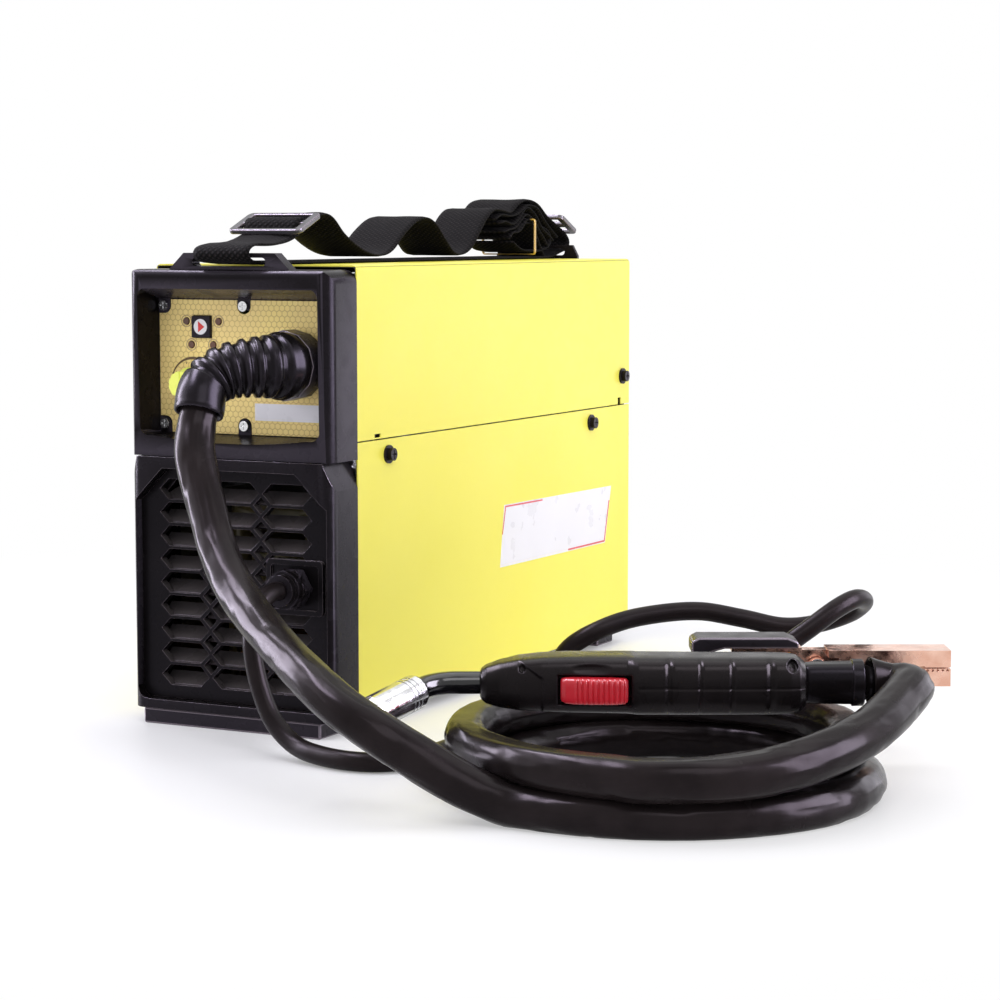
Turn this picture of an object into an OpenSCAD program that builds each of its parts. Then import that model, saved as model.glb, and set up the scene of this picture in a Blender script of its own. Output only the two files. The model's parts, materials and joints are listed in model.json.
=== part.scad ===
/* [Case] */
// Width of the case over its side sheets
body_w = 138; // [134:1:150]
// Length of the case, front moulding to rear edge
body_len = 416; // [400:2:440]
// Height from the floor to the top of the cover
body_h = 272; // [270:1:284]
// Length of the black front mouldings ahead of the sheets
front_len = 32; // [28:1:38]
// Thickness of the steel sheets
sheet_t = 1.2; // [0.8:0.1:1.6]
// Height of the seam between the lower body and the cover
seam_h = 170; // [168:1:174]
// Height of the foot bars
foot_h = 9.5; // [8:0.5:11]
// Gap between sheets at a seam
seam_gap = 0.8; // [0.4:0.1:1.2]

/* [Front] */
// Bottom of the upper front bezel
bezel_z = 160; // [158:1:162]
// Radius of the upright front edges
edge_r = 9; // [6:0.5:11]
// Width of the bezel's opening
bezel_open_w = 123; // [118:1:124]
// Height of the bezel's opening
bezel_open_h = 86.5; // [84:0.5:88]
// Depth of the recess in front of the control panel
recess_d = 20; // [17:1:22]
// Thickness of the control panel
panel_t = 1.5; // [1:0.1:2]
// Width of one grille hexagon, point to point
hex_w = 35.5; // [33:0.5:36.5]
// Height of one grille hexagon
hex_h = 13.85; // [12.6:0.05:13.9]
// Width of the bars between the grille's openings
bar_w = 1.6; // [1.2:0.1:2.2]
// Depth of the grille plate
grille_t = 5.7; // [4:0.1:6]
// Outer radius of the control knob
knob_r = 9.6; // [8:0.2:10.4]

/* [Wire feed] */
// Outer diameter of the wire spool
spool_d = 100; // [96:1:102]
// Width of the wire spool
spool_w = 44; // [40:1:45]
// Bore of the wire spool
spool_bore = 16; // [15:0.5:18]
// Diameter of the drive roller
roller_d = 30; // [26:1:31]
// Diameter of the pressure roller
pressure_d = 22; // [20:1:24]
// Height of the welding wire's line
wire_h = 215; // [214:1:216]
// Radial play of the running fits
run_fit = 0.05; // [0.02:0.01:0.08]

/* [Cables] */
// Outside diameter of the torch cable
torch_cable_d = 19; // [17:0.5:19.5]
// Outside diameter of the ground cable
ground_cable_d = 11; // [9:0.5:11.5]
// Radius of the torch cable's coil at the middle of its outer turn
torch_coil_r = 108; // [107:0.5:109]
// Distance between two turns of the torch cable
torch_coil_pitch = 21; // [20.4:0.2:22]
// Radius of the ground cable's coil at the middle of its outer turn
ground_coil_r = 56; // [55:0.5:57]
// Distance between two turns of the ground cable
ground_coil_pitch = 12; // [11.8:0.1:12.6]

/* [Torch] */
// Length of the torch handle
handle_len = 171; // [168:1:172]
// Height of the torch handle as it lies
handle_h = 31.2; // [30:0.2:31.2]
// Depth of the torch handle, back to trigger side
handle_d = 40; // [36:1:42]
// Diameter of the swan neck
neck_d = 12.6; // [11:0.2:14]
// Outside diameter of the gas nozzle
nozzle_d = 18.5; // [17:0.5:19]
// Length of the gas nozzle
nozzle_len = 50; // [46:1:52]
// Length of the trigger
trigger_len = 36; // [32:1:38]

/* [Ground clamp] */
// Length of the copper jaws ahead of the pivot
jaw_len = 72; // [68:1:74]
// Width of the copper jaws
jaw_w = 22; // [20:1:24]
// Length of the insulated grips behind the pivot
grip_len = 62; // [56:1:66]

/* [Strap] */
// Width of the webbing
web_w = 38; // [34:1:40]
// Thickness of the webbing
web_t = 1.8; // [1.4:0.1:2]

/* [Hidden] */
$fn = 48;
hw = body_w / 2;
y_front = -body_len / 2;
y_rear = body_len / 2;
y_sheet = y_front + front_len;
inner_w = hw - sheet_t;
seat_gap = 0.3;
panel_y = y_front + recess_d;
bezel_top = body_h - 2.5;
open_z = bezel_z + 12;
shelf_z = seam_h - 20;
shelf_t = 1.2;
door_z0 = shelf_z + 1;
door_z1 = body_h - 9;
door_y0 = y_sheet + 0.6;
door_y1 = y_rear - 0.6;
hinge_x = -hw - 2.4;
hinge_z = shelf_z + 0.5;
pin_r = 1.2;
rear_y = y_rear - 8;
rear_t = 3;
lug_y = y_front + 4;
lug_t = 8;
lug_w = 82;
lug_top_w = 62;
lug_h = 9.5;
slot_w = web_w + 12;
slot_h = 5;
slot_z = bezel_top + lug_h / 2 - 0.4;
outlet_x = 38;
knob_x = -36;
knob_z = seam_h + 32;
button_x = -29;
button_z = seam_h + 65.6;
gland_x = 42;
gland_z = 87;
grille_y = y_front + 8;
blade_tilt = 38;
plate_x = outlet_x + 8;
wheel_y = y_sheet + 71;
motor_x = plate_x + 6;
motor_r = 12;
drive_z = wire_h - roller_d / 2 - 0.5;
press_z = wire_h + pressure_d / 2 + 0.5;
arm_y = wheel_y + 27;
arm_z = press_z + 8;
spool_y = 62;
spool_z = shelf_z + spool_d / 2 + 10;
wall_x = 55;
fan_z = 76;
fan_x = -4;
fan_r = 37;
switch_x = -34;
switch_z = 202;
inlet_x = 34;
inlet_z = 200;
lay_yaw = 27;
torch_at = [198.9, -273.5, 55];
clamp_at = [341, -151.7, 57];
neck_bend_r = 24;
neck_turn = 55;
neck_drop = 12;
trigger_x = 41.6;
nozzle_gap = 4;
neck_straight = 12.4;
coil_at = [293, -243];
ground_coil_at = [228, -60];
layer_h = torch_cable_d + 1;
ground_layer_h = ground_cable_d + 0.8;

e_dir = [cos(lay_yaw), sin(lay_yaw), 0];
t_dir = [sin(lay_yaw), -cos(lay_yaw), 0];
torch_mouth = torch_at + (handle_len + 37) * e_dir;
lug_back = 14;
lug_out = 29;
lug_face = clamp_at - lug_back * e_dir - lug_out * t_dir;
outlet_at = [outlet_x, y_front + 1, wire_h];
boot_mouth = [12, -255, wire_h - 25];
lead_dir = [0.06, -0.42, -0.905];
z1 = torch_cable_d / 2 + 0.1;
z2 = z1 + layer_h;
g1 = ground_cable_d / 2 + 0.1;
g2 = g1 + ground_layer_h;
coil_front = coil_at[1] - torch_coil_r;
gcoil_front = ground_coil_at[1] - ground_coil_r;
gcoil_left = ground_coil_at[0] - ground_coil_r;

// Route of the torch cable, boot to coil
torch_lead_pts = [
    boot_mouth, boot_mouth + 4 * lead_dir, boot_mouth + 9 * lead_dir, [17, -267, 168], [30, -277, 144],
    [50, -293, 116], [80, -314, 93], [120, -342, 76], [150, -362, 65], [172, -371, 55], [190, -372, 46],
    [206, -368, 36], [222, -362, 26], [238, -356, 17], [252, -352, 11.5], [263, coil_front, z1 + 0.1],
    [268, coil_front, z1], [coil_at[0] - torch_cable_d, coil_front, z1]
];
// Route of the torch cable, coil to torch
torch_tail_pts = [
    [coil_at[0] + torch_cable_d, coil_front, z2], [318, coil_front, z2], [325, coil_front, z2],
    [345, -344, 30.2], [367, -331, 31.4], [386.5, -307, 34.4], [400, -279, 39], [405.5, -250, 43],
    [406.4, -226, 46.6], [406.3, -208, 49.8], [406.1, -195, 52.4], [405.57, -186.1, 54.1], [404.1, -180.6, 54.7],
    [400.2, -176.7, 55], [394.95, -175.15, 55], torch_mouth + 6 * e_dir, torch_mouth + 3 * e_dir, torch_mouth
];
// Route of the ground cable, gland to coil
ground_lead_pts = [
    [gland_x, y_front - 12, gland_z], [gland_x, -224, gland_z], [gland_x, -229, gland_z], [42, -240, 82],
    [43, -250, 70], [46, -254, 54],
    [52, -256, 36], [62, -259, 20], [78, -263, 9], [98, -270, g1 + 0.5], [122, -274, g1 + 0.1], [140, -266, g1],
    [149, -246, g1], [151, -218, g1], [152, -190, g1], [155, -162, g1], [165, -136, g1], [184, -120, g1],
    [204, gcoil_front, g1], [210, gcoil_front, g1], [ground_coil_at[0] - ground_cable_d, gcoil_front, g1]
];
// Route of the ground cable, coil to clamp
ground_tail_pts = [
    [gcoil_left, ground_coil_at[1] - ground_cable_d, g2], [gcoil_left, -75, g2], [gcoil_left, -80, g2],
    [168, -96, 25], [168, -110, 36],
    [177, -119, 49], [193, -114, 60], [211, -97, 67], [239, -77, 70], [264, -66, 66], [285, -55, 61],
    [304, -49, 63], [325, -51, 71], [338, -63, 80], [339, -81, 84], [333, -95, 80], [322, -107, 70],
    [312.5, -115.5, 61.5], lug_face - 9 * t_dir, lug_face - 4 * t_dir, lug_face
];
// Side view of the carrying strap, Y and Z
strap_pts = [
    [-190, 273.2], [-200, 273.9], [-208, 274.8], [-212, 278], [-209.5, 282], [-201, 284], [-190, 284],
    [-178, 284.9], [-166, 287.8], [-152, 293.4], [-138, 299.1], [-128, 301.3], [-117, 298.5], [-102, 289],
    [-78, 279.5], [-58, 276.6], [-42, 280], [-24, 291],
    [-10, 298], [2, 300], [14, 296], [26, 286], [38, 278], [50, 276.4], [62, 280.5], [74, 291], [86, 301],
    [98, 306], [112, 305.6], [124, 304.6], [136, 310], [150, 312.6], [166, 309.6], [180, 302], [194, 296.5],
    [207, 291], [214, 284.5], [211.5, 279], [203, 277], [195, 275.3], [186, 273.5], [170, 273.2], [60, 273.2],
    [-60, 273.2], [-176, 273.2]
];
// Side view of the folded spare webbing
fold_pts = [
    [128, 284], [140, 279], [158, 277.4], [175, 278.4], [186, 283], [185, 290], [174, 294.5], [158, 297.5],
    [144, 296.5], [135, 291.5]
];

// ---- helpers ----

// Points of an arc from angle a0 to a1
function arc(cx, cy, r, a0, a1, n = 6) =
    [for (i = [0:n]) let (a = a0 + (a1 - a0) * i / n) [cx + r * cos(a), cy + r * sin(a)]];

// A point of a smooth curve between b and c
function mid_point(a, b, c, d, t) =
    ((2 * b) + (c - a) * t + (2 * a - 5 * b + 4 * c - d) * t * t + (3 * b - a - 3 * c + d) * t * t * t) / 2;

// A smooth route through chosen points, n steps between each two
function smooth(p, n) = concat(
    [for (i = [0:len(p) - 2]) for (k = [0:n - 1])
        mid_point(p[max(i - 1, 0)], p[i], p[i + 1], p[min(i + 2, len(p) - 1)], k / n)],
    [p[len(p) - 1]]
);

function unit(v) = v / norm(v);
function tangent(p, i) = unit(p[min(i + 1, len(p) - 1)] - p[max(i - 1, 0)]);
function square_to(v, t) = unit(v - (v * t) * t);
function first_side(t) = square_to(abs(t[2]) > 0.8 ? [1, 0, 0] : [0, 0, 1], t);

// Side directions carried along the route without twist
function carried(p) = [
    for (i = 0, s = first_side(tangent(p, 0)); i < len(p);
        i = i + 1, s = square_to(s, tangent(p, min(i, len(p) - 1)))) s
];

// A closed round tube along points p, radius r[i] at each point
module tube(p, r, sides) {
    n = len(p);
    s = carried(p);
    rings = [for (i = [0:n - 1]) let (t = tangent(p, i), b = cross(t, s[i]))
        for (k = [0:sides - 1]) let (a = 360 * k / sides) p[i] + r[i] * (cos(a) * s[i] + sin(a) * b)];
    walls = [for (i = [0:n - 2]) for (k = [0:sides - 1])
        let (a = i * sides + k, b = i * sides + (k + 1) % sides)
        for (f = [[a, a + sides, b], [b, a + sides, b + sides]]) f];
    caps = concat(
        [for (k = [1:sides - 2]) [0, k, k + 1]],
        [for (k = [1:sides - 2]) [(n - 1) * sides, (n - 1) * sides + k + 1, (n - 1) * sides + k]]
    );
    polyhedron(points = rings, faces = concat(walls, caps), convexity = 8);
}

module cord(p, d, sides, steps) {
    q = smooth(p, steps);
    tube(q, [for (i = q) d / 2], sides);
}

// Point of a coil that spirals in, climbs a layer where it turns back, and spirals out
function coil_point(at, r, pitch, turns, z0, step, dir, a0, u) =
    let (
        half = turns / 2,
        w = u * turns,
        radius = r - pitch * (half - abs(w - half)),
        climb = min(max((w - half + 0.25) / 0.5, 0), 1),
        a = a0 + dir * 360 * w
    )
    [at[0] + radius * cos(a), at[1] + radius * sin(a), z0 + step * climb * climb * (3 - 2 * climb)];

function coil_path(at, r, pitch, turns, z0, step, dir, a0, per_turn) =
    [for (i = [0:turns * per_turn])
        coil_point(at, r, pitch, turns, z0, step, dir, a0, i / (turns * per_turn))];

// Least distance between points of a path that lie over half a turn apart
function self_gap(p, d, per_turn) =
    min([for (i = [0:len(p) - 1]) for (j = [i + per_turn / 2:1:len(p) - 1]) norm(p[i] - p[j])]) - d;

// A prism with rounded front edges, seen from above
module plan_block(w, y0, y1, r, z0, z1) {
    translate([0, 0, z0]) linear_extrude(z1 - z0) union() {
        translate([-w / 2 + r, y0]) square([w - 2 * r, y1 - y0]);
        translate([-w / 2, y0 + r]) square([w, y1 - y0 - r]);
        for (s = [-1, 1]) translate([s * (w / 2 - r), y0 + r]) circle(r);
    }
}

// Extrudes an outline drawn in X and Z along Y, from y0 to y1
module along_y(y0, y1) {
    translate([0, y1, 0]) rotate([90, 0, 0]) linear_extrude(y1 - y0) children();
}

// Extrudes an outline drawn in Y and Z along X, from x0 to x1
module along_x(x0, x1) {
    translate([x0, 0, 0]) rotate([90, 0, 90]) linear_extrude(x1 - x0) children();
}

module rod_x(r, x0, x1, y, z) {
    translate([x0, y, z]) rotate([0, 90, 0]) cylinder(r = r, h = x1 - x0);
}

module rod_y(r, y0, y1, x, z) {
    translate([x, y1, z]) rotate([90, 0, 0]) cylinder(r = r, h = y1 - y0);
}

module round_rect(w, h, r) {
    translate([-w / 2 + r, -h / 2]) square([w - 2 * r, h]);
    translate([-w / 2, -h / 2 + r]) square([w, h - 2 * r]);
    for (x = [-1, 1]) for (z = [-1, 1]) translate([x * (w / 2 - r), z * (h / 2 - r)]) circle(r);
}

// ---- case ----

bend_r = 3;
screw_y = [y_sheet + 36, y_rear - 64];

module lower_body() {
    outer = concat(
        [[-hw, shelf_z]], arc(-hw + bend_r, foot_h + bend_r, bend_r, 180, 270),
        arc(hw - bend_r, foot_h + bend_r, bend_r, 270, 360), [[hw, seam_h - seam_gap / 2]]
    );
    inner = concat(
        [[inner_w, seam_h - seam_gap / 2]],
        arc(hw - bend_r, foot_h + bend_r, bend_r - sheet_t, 360, 270),
        arc(-hw + bend_r, foot_h + bend_r, bend_r - sheet_t, 270, 180), [[-inner_w, shelf_z]]
    );
    color("#F4E93C") difference() {
        along_y(y_sheet, y_rear) polygon(concat(outer, inner));
        for (y = screw_y) rod_x(2.2, inner_w - 1, hw + 1, y, seam_h - 9.5);
        for (i = [0:9]) translate([-20 + 5 * i, y_sheet + 60, foot_h - 1]) cube([2.2, 60, sheet_t + 2]);
    }
}

module upper_cover() {
    outer = concat(
        [[-hw, door_z1 + 0.6]], arc(-hw + bend_r, body_h - bend_r, bend_r, 180, 90),
        arc(hw - bend_r, body_h - bend_r, bend_r, 90, 0), [[hw, seam_h + seam_gap / 2]]
    );
    inner = concat(
        [[inner_w, seam_h + seam_gap / 2]],
        arc(hw - bend_r, body_h - bend_r, bend_r - sheet_t, 0, 90),
        arc(-hw + bend_r, body_h - bend_r, bend_r - sheet_t, 90, 180), [[-inner_w, door_z1 + 0.6]]
    );
    color("#F4E93C") difference() {
        along_y(y_sheet, y_rear) polygon(concat(outer, inner));
        rod_x(2.2, inner_w - 1, hw + 1, y_rear - 12, seam_h + 20);
        translate([inner_w - 1, y_sheet + 20, seam_h + 1.2]) cube([sheet_t + 2, 7, 2.2]);
        translate([inner_w - 1, y_rear - 19, seam_h]) cube([sheet_t + 2, 5, 5]);
        translate([-slot_w / 2 - 8, rear_y - 1, body_h - 4]) cube([slot_w + 16, 20, 8]);
    }
}

module side_door() {
    color("#F4E93C") difference() {
        union() {
            translate([-hw, door_y0, door_z0]) cube([sheet_t, door_y1 - door_y0, door_z1 - door_z0]);
            for (y = hinge_ys) door_knuckle(y);
        }
        rod_x(3 + run_fit, -hw - 4, -inner_w + 1, latch_y, latch_z);
        for (y = hinge_ys) rod_y(pin_r + 0.03, y - 20, y + 20, hinge_x, hinge_z);
    }
}

hinge_ys = [y_sheet + 60, y_rear - 66];
knuckle_r = 2.2;
knuckle_l = 14;
latch_y = 10;
latch_z = door_z1 - 14;

module door_knuckle(y) {
    rod_y(knuckle_r, y - knuckle_l / 2, y + knuckle_l / 2, hinge_x, hinge_z);
    translate([hinge_x, y - knuckle_l / 2, hinge_z + 1]) cube([-hw - hinge_x + 0.4, knuckle_l, 1]);
    translate([-hw - sheet_t, y - knuckle_l / 2, hinge_z + 1]) cube([sheet_t + 0.4, knuckle_l, 10]);
}

module door_hinges() {
    color("#3A3A3C") for (y = hinge_ys) {
        difference() {
            union() {
                for (s = [-1, 1]) {
                    y0 = y + s * (knuckle_l / 2 + 0.3 + 3.5) - 3.5;
                    rod_y(knuckle_r, y0, y0 + 7, hinge_x, hinge_z);
                    translate([hinge_x, y0, hinge_z - 2]) cube([-hw - hinge_x, 7, 1]);
                }
                translate([-hw - sheet_t, y - knuckle_l / 2 - 7.3, hinge_z - 14])
                    cube([sheet_t, knuckle_l + 14.6, 11.4]);
                for (s = [-1, 1]) {
                    y0 = y + s * (knuckle_l / 2 + 0.3 + 3.5) - 3.5;
                    translate([-hw - sheet_t, y0, hinge_z - 4]) cube([sheet_t, 7, 3]);
                }
            }
            rod_y(pin_r + 0.03, y - 20, y + 20, hinge_x, hinge_z);
        }
        rod_y(pin_r, y - knuckle_l / 2 - 8.4, y + knuckle_l / 2 + 8.4, hinge_x, hinge_z);
        rod_y(1.8, y - knuckle_l / 2 - 9.4, y - knuckle_l / 2 - 7.5, hinge_x, hinge_z);
        rod_y(1.8, y + knuckle_l / 2 + 7.5, y + knuckle_l / 2 + 9.4, hinge_x, hinge_z);
    }
}

module door_latch() {
    color("#222224") {
        difference() {
            rod_x(8, -hw - 5, -hw - 0.2, latch_y, latch_z);
            translate([-hw - 6, latch_y - 7, latch_z - 1]) cube([3, 14, 2]);
        }
        rod_x(3, -hw - 1, -inner_w + 3, latch_y, latch_z);
        translate([-inner_w + 0.6, latch_y - 5, latch_z - 5]) cube([2, 24, 10]);
    }
}

module inner_frame() {
    shelf_w = inner_w - seat_gap;
    color("#9FA3A6") difference() {
        union() {
            translate([-shelf_w, y_sheet + 12, shelf_z - shelf_t])
                cube([2 * shelf_w, rear_y - y_sheet - 12 - seat_gap, shelf_t]);
            translate([shelf_w - shelf_t, y_sheet + 12, shelf_z - shelf_t])
                cube([shelf_t, rear_y - y_sheet - 12 - seat_gap, 18]);
            translate([-shelf_w, y_sheet + 12, shelf_z - 18])
                cube([shelf_t, rear_y - y_sheet - 12 - seat_gap, 17]);
            translate([wall_x, -40, shelf_z - 0.5]) cube([shelf_t, rear_y + 40 - seat_gap, body_h - shelf_z - 12]);
        }
        rod_x(3.5 + seat_gap, wall_x - 1, wall_x + 3, spool_y, spool_z);
        for (y = screw_y) rod_x(1.7, shelf_w - 3, shelf_w + 1, y, seam_h - 9.5);
        translate([motor_x, wheel_y, shelf_z - 3]) cylinder(r = motor_r + 1, h = 6);
    }
}

module foot_bars() {
    color("#1C1C1E") for (y = [y_front + 1, -13, y_rear - 34])
        translate([-hw + 8, y, 0]) cube([body_w - 16, 26, foot_h]);
}

// ---- front ----

panel_w = bezel_open_w - 5;
panel_bot = open_z + 1;
panel_top = open_z + bezel_open_h - 7;
screw_notch_r = 4.6;
panel_screw_at = [for (x = [-55.4, 0, 55.4]) for (z = [panel_bot + 5, panel_top - 3.6]) [x, z]];

module panel_outline(d) {
    translate([0, (panel_bot + panel_top) / 2]) round_rect(panel_w + 2 * d, panel_top - panel_bot + 2 * d, 3);
}

module bezel_outline() {
    translate([0, (bezel_z + bezel_top) / 2]) round_rect(body_w, bezel_top - bezel_z, 8);
    translate([-hw, bezel_z]) square([body_w, 20]);
}

module open_outline(w, h, r) {
    translate([0, open_z + bezel_open_h / 2]) round_rect(w, h, r);
}

lip_sag = 3.4;
lip_w = 104;
lip_r = (pow(lip_w / 2, 2) + pow(lip_sag, 2)) / (2 * lip_sag);
lip_a = asin(lip_w / 2 / lip_r);

// Front opening of the bezel, with a bowed lower lip
module bowed_outline() {
    open_outline(bezel_open_w, bezel_open_h, 6);
    polygon(concat(arc(0, open_z + lip_r - lip_sag, lip_r, 270 - lip_a, 270 + lip_a, 14),
        [[lip_w / 2, open_z + 1], [-lip_w / 2, open_z + 1]]));
}

// Notches of the control panel round its screws
module notches(r) {
    for (p = panel_screw_at) {
        up = p[1] > open_z + 30;
        translate(p) circle(r);
        translate([p[0] - r, up ? p[1] : panel_bot - 1]) square([2 * r, up ? panel_top - p[1] + 1 : p[1] - panel_bot + 1]);
        if (p[0] != 0) translate([p[0] > 0 ? p[0] : -panel_w / 2 - 1, up ? p[1] - r : panel_bot - 1])
            square([panel_w / 2 + 1 - abs(p[0]), up ? panel_top - p[1] + r + 1 : p[1] + r - panel_bot + 1]);
    }
}

module strap_lug(y0, z0, t) {
    along_y(y0, y0 + t) difference() {
        polygon([[-lug_w / 2, z0 - 1], [lug_w / 2, z0 - 1], [lug_w / 2, z0], [lug_top_w / 2 + 2, z0 + lug_h - 2],
            [lug_top_w / 2, z0 + lug_h], [-lug_top_w / 2, z0 + lug_h], [-lug_top_w / 2 - 2, z0 + lug_h - 2],
            [-lug_w / 2, z0]]);
        translate([0, z0 + lug_h / 2 - 0.4]) round_rect(slot_w, slot_h, slot_h / 2 - 0.01);
    }
}

module front_bezel() {
    color("#1F1E20") {
        difference() {
            intersection() {
                plan_block(body_w, y_front, y_sheet, edge_r, bezel_z, bezel_top);
                along_y(y_front, y_sheet) bezel_outline();
                along_x(-hw, hw) polygon(concat(
                    [[y_sheet, bezel_z], [y_front + 2, bezel_z]], arc(y_front + 4, bezel_top - 4, 4, 180, 90),
                    [[y_sheet, bezel_top]]
                ));
            }
            intersection() {
                along_y(y_front - 1, panel_y) bowed_outline();
                linear_extrude(body_h + 10) polygon([
                    [-bezel_open_w / 2, y_front - 1], [bezel_open_w / 2, y_front - 1],
                    [panel_w / 2 + 0.4, panel_y], [-panel_w / 2 - 0.4, panel_y]
                ]);
                along_x(-hw, hw) polygon([
                    [y_front - 1, open_z - lip_sag - 0.3], [y_front - 1, open_z + bezel_open_h],
                    [panel_y, panel_top + 0.4], [panel_y, panel_bot - 0.4]
                ]);
            }
            difference() {
                along_y(panel_y - 0.1, panel_y + panel_t) panel_outline(0.3);
                along_y(panel_y, panel_y + panel_t + 1) notches(screw_notch_r - 0.3);
            }
            along_y(panel_y, y_sheet + 1) open_outline(bezel_open_w - 20, bezel_open_h - 26, 4);
            for (p = panel_screw_at) rod_y(1.5 + run_fit, panel_y, panel_y + panel_t + 5, p[0], p[1]);
        }
        difference() {
            along_y(y_sheet - 3, y_sheet + 9)
                translate([0, (bezel_z + body_h) / 2])
                    round_rect(2 * (inner_w - seat_gap), bezel_top - 1 - bezel_z - 14, 2);
            along_y(y_sheet - 4, y_sheet + 10) open_outline(bezel_open_w, bezel_open_h - 14, 4);
        }
        strap_lug(lug_y, bezel_top, lug_t);
    }
}

front_top = bezel_z - 0.4;
rim_w = hw - 3.5;
rim_z0 = foot_h + 5.5;
rim_z1 = front_top - 6.6;

function rim(d) = concat(
    arc(-rim_w + 8, rim_z0 + 8, 8 - d, 180, 270), arc(rim_w - 8, rim_z0 + 8, 8 - d, 270, 360),
    [[rim_w - d, rim_z1 - 20 - d / 2], [rim_w - 20 - d / 2, rim_z1 - d],
        [-rim_w + 20 + d / 2, rim_z1 - d], [-rim_w + d, rim_z1 - 20 - d / 2]]
);

module lower_front() {
    color("#1F1E20") difference() {
        union() {
            intersection() {
                plan_block(body_w, y_front, y_sheet, edge_r, foot_h, front_top);
                along_y(y_front, y_sheet) polygon([
                    [-hw + 1.5, foot_h], [hw - 1.5, foot_h], [hw, foot_h + 2], [hw, front_top - 16],
                    [hw - 5.5, front_top], [-hw + 5.5, front_top], [-hw, front_top - 16], [-hw, foot_h + 2]
                ]);
            }
            translate([-inner_w + seat_gap, y_sheet - 2, foot_h + sheet_t + 2])
                cube([2 * (inner_w - seat_gap), 10, shelf_z - foot_h - 10]);
        }
        along_y(y_front - 1, grille_y + grille_t + 0.3) polygon(rim(0));
        along_y(y_front, y_sheet + 20) polygon(rim(6));
    }
}

module hex_hole(x, z) {
    p = (hex_h - bar_w) / 2;
    w = (hex_w - bar_w * 1.4) / 2;
    translate([x, z]) polygon([[-w, 0], [-w + p, p], [w - p, p], [w, 0], [w - p, -p], [-w + p, -p]]);
}

module diamond_hole(x, z) {
    p = hex_h / 2 - bar_w * 1.2;
    translate([x, z]) polygon([[-p, 0], [0, p], [p, 0], [0, -p]]);
}

hex_rows = 9;
hex_z0 = rim_z0 + 7.3;
gland_block = [gland_x - 19, gland_z - 16, 38, 32];

module front_grille() {
    color("#232225") {
        difference() {
            along_y(grille_y, grille_y + grille_t) difference() {
                polygon(rim(seat_gap));
                for (r = [0:hex_rows - 1]) for (c = [-1:1]) hex_hole(c * hex_w, hex_z0 + (r + 0.5) * hex_h);
                for (r = [1:hex_rows - 1]) for (c = [-0.5, 0.5]) diamond_hole(c * hex_w, hex_z0 + r * hex_h);
            }
            rod_y(6.2 + seat_gap, grille_y - 5, grille_y + 20, gland_x, gland_z);
        }
        intersection() {
            along_y(grille_y + grille_t - 1.5, grille_y + 14) polygon(rim(7));
            difference() {
                for (r = [0:hex_rows - 1]) translate([0, grille_y + grille_t - 1.4, hex_z0 + r * hex_h + 0.2])
                    rotate([blade_tilt, 0, 0]) translate([-hex_w * 1.5, 0, -0.7]) cube([hex_w * 3, 11, 1.4]);
                rod_y(12.5, grille_y - 1, grille_y + 20, gland_x, gland_z);
            }
        }
        difference() {
            along_y(grille_y - 3, grille_y + grille_t - 0.4) translate([gland_x, gland_z])
                round_rect(gland_block[2], gland_block[3], 3);
            along_y(grille_y - 4, grille_y - 1) translate([gland_x, gland_z])
                round_rect(gland_block[2] - 6, gland_block[3] - 6, 2);
            rod_y(6.2 + seat_gap, grille_y - 5, grille_y + 20, gland_x, gland_z);
        }
    }
}

// ---- rear, panel and controls ----

module rear_panel() {
    color("#1F1E20") difference() {
        union() {
            along_y(rear_y, rear_y + rear_t) translate([0, (foot_h + body_h) / 2])
                round_rect(2 * (inner_w - seat_gap), body_h - foot_h - 2 * sheet_t - 2 * seat_gap, 3);
            along_y(rear_y, rear_y + rear_t) polygon([
                [-32, body_h - 4], [32, body_h - 4], [32, body_h + 2], [28, body_h + lug_h],
                [-28, body_h + lug_h], [-32, body_h + 2]
            ]);
        }
        along_y(rear_y - 1, rear_y + rear_t + 1) translate([0, body_h + 4.8])
            round_rect(web_w + 6, slot_h, slot_h / 2 - 0.01);
        for (i = [-4:4]) let (h = sqrt(pow(fan_r, 2) - pow(8 * i, 2)))
            translate([fan_x + 8 * i - 2.5, rear_y - 1, fan_z - h]) cube([5, rear_t + 2, 2 * h]);
        translate([switch_x - 11, rear_y - 1, switch_z - 14]) cube([22, rear_t + 2, 28]);
        rod_y(8.3, rear_y - 1, rear_y + rear_t + 1, inlet_x, inlet_z);
    }
}

led_at = [[-40, button_z + 3.2], [-17.6, button_z + 3.2], [-36.6, button_z - 10.6], [-21.4, button_z - 10.6]];
board_y = panel_y + 8;
pin_at = [[-46, 192], [16, 192], [-46, 239], [10, 239]];

module control_panel() {
    color("#C9BE86") difference() {
        along_y(panel_y, panel_y + panel_t) difference() {
            panel_outline(0);
            notches(screw_notch_r);
            for (p = led_at) translate(p) circle(2.3);
            translate([button_x, button_z]) square(13.4, center = true);
            translate([knob_x, knob_z]) circle(3.5);
            translate([outlet_x, wire_h]) circle(10.8);
        }
    }
}

module panel_screws() {
    color("#C8C8CC") for (p = panel_screw_at) difference() {
        union() {
            rod_y(3, panel_y - 1.8, panel_y, p[0], p[1]);
            rod_y(1.5, panel_y - 1, panel_y + panel_t + 4, p[0], p[1]);
        }
        translate([p[0] - 0.35, panel_y - 2, p[1] - 2]) cube([0.7, 0.9, 4]);
        translate([p[0] - 2, panel_y - 2, p[1] - 0.35]) cube([4, 0.9, 0.7]);
    }
}

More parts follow.
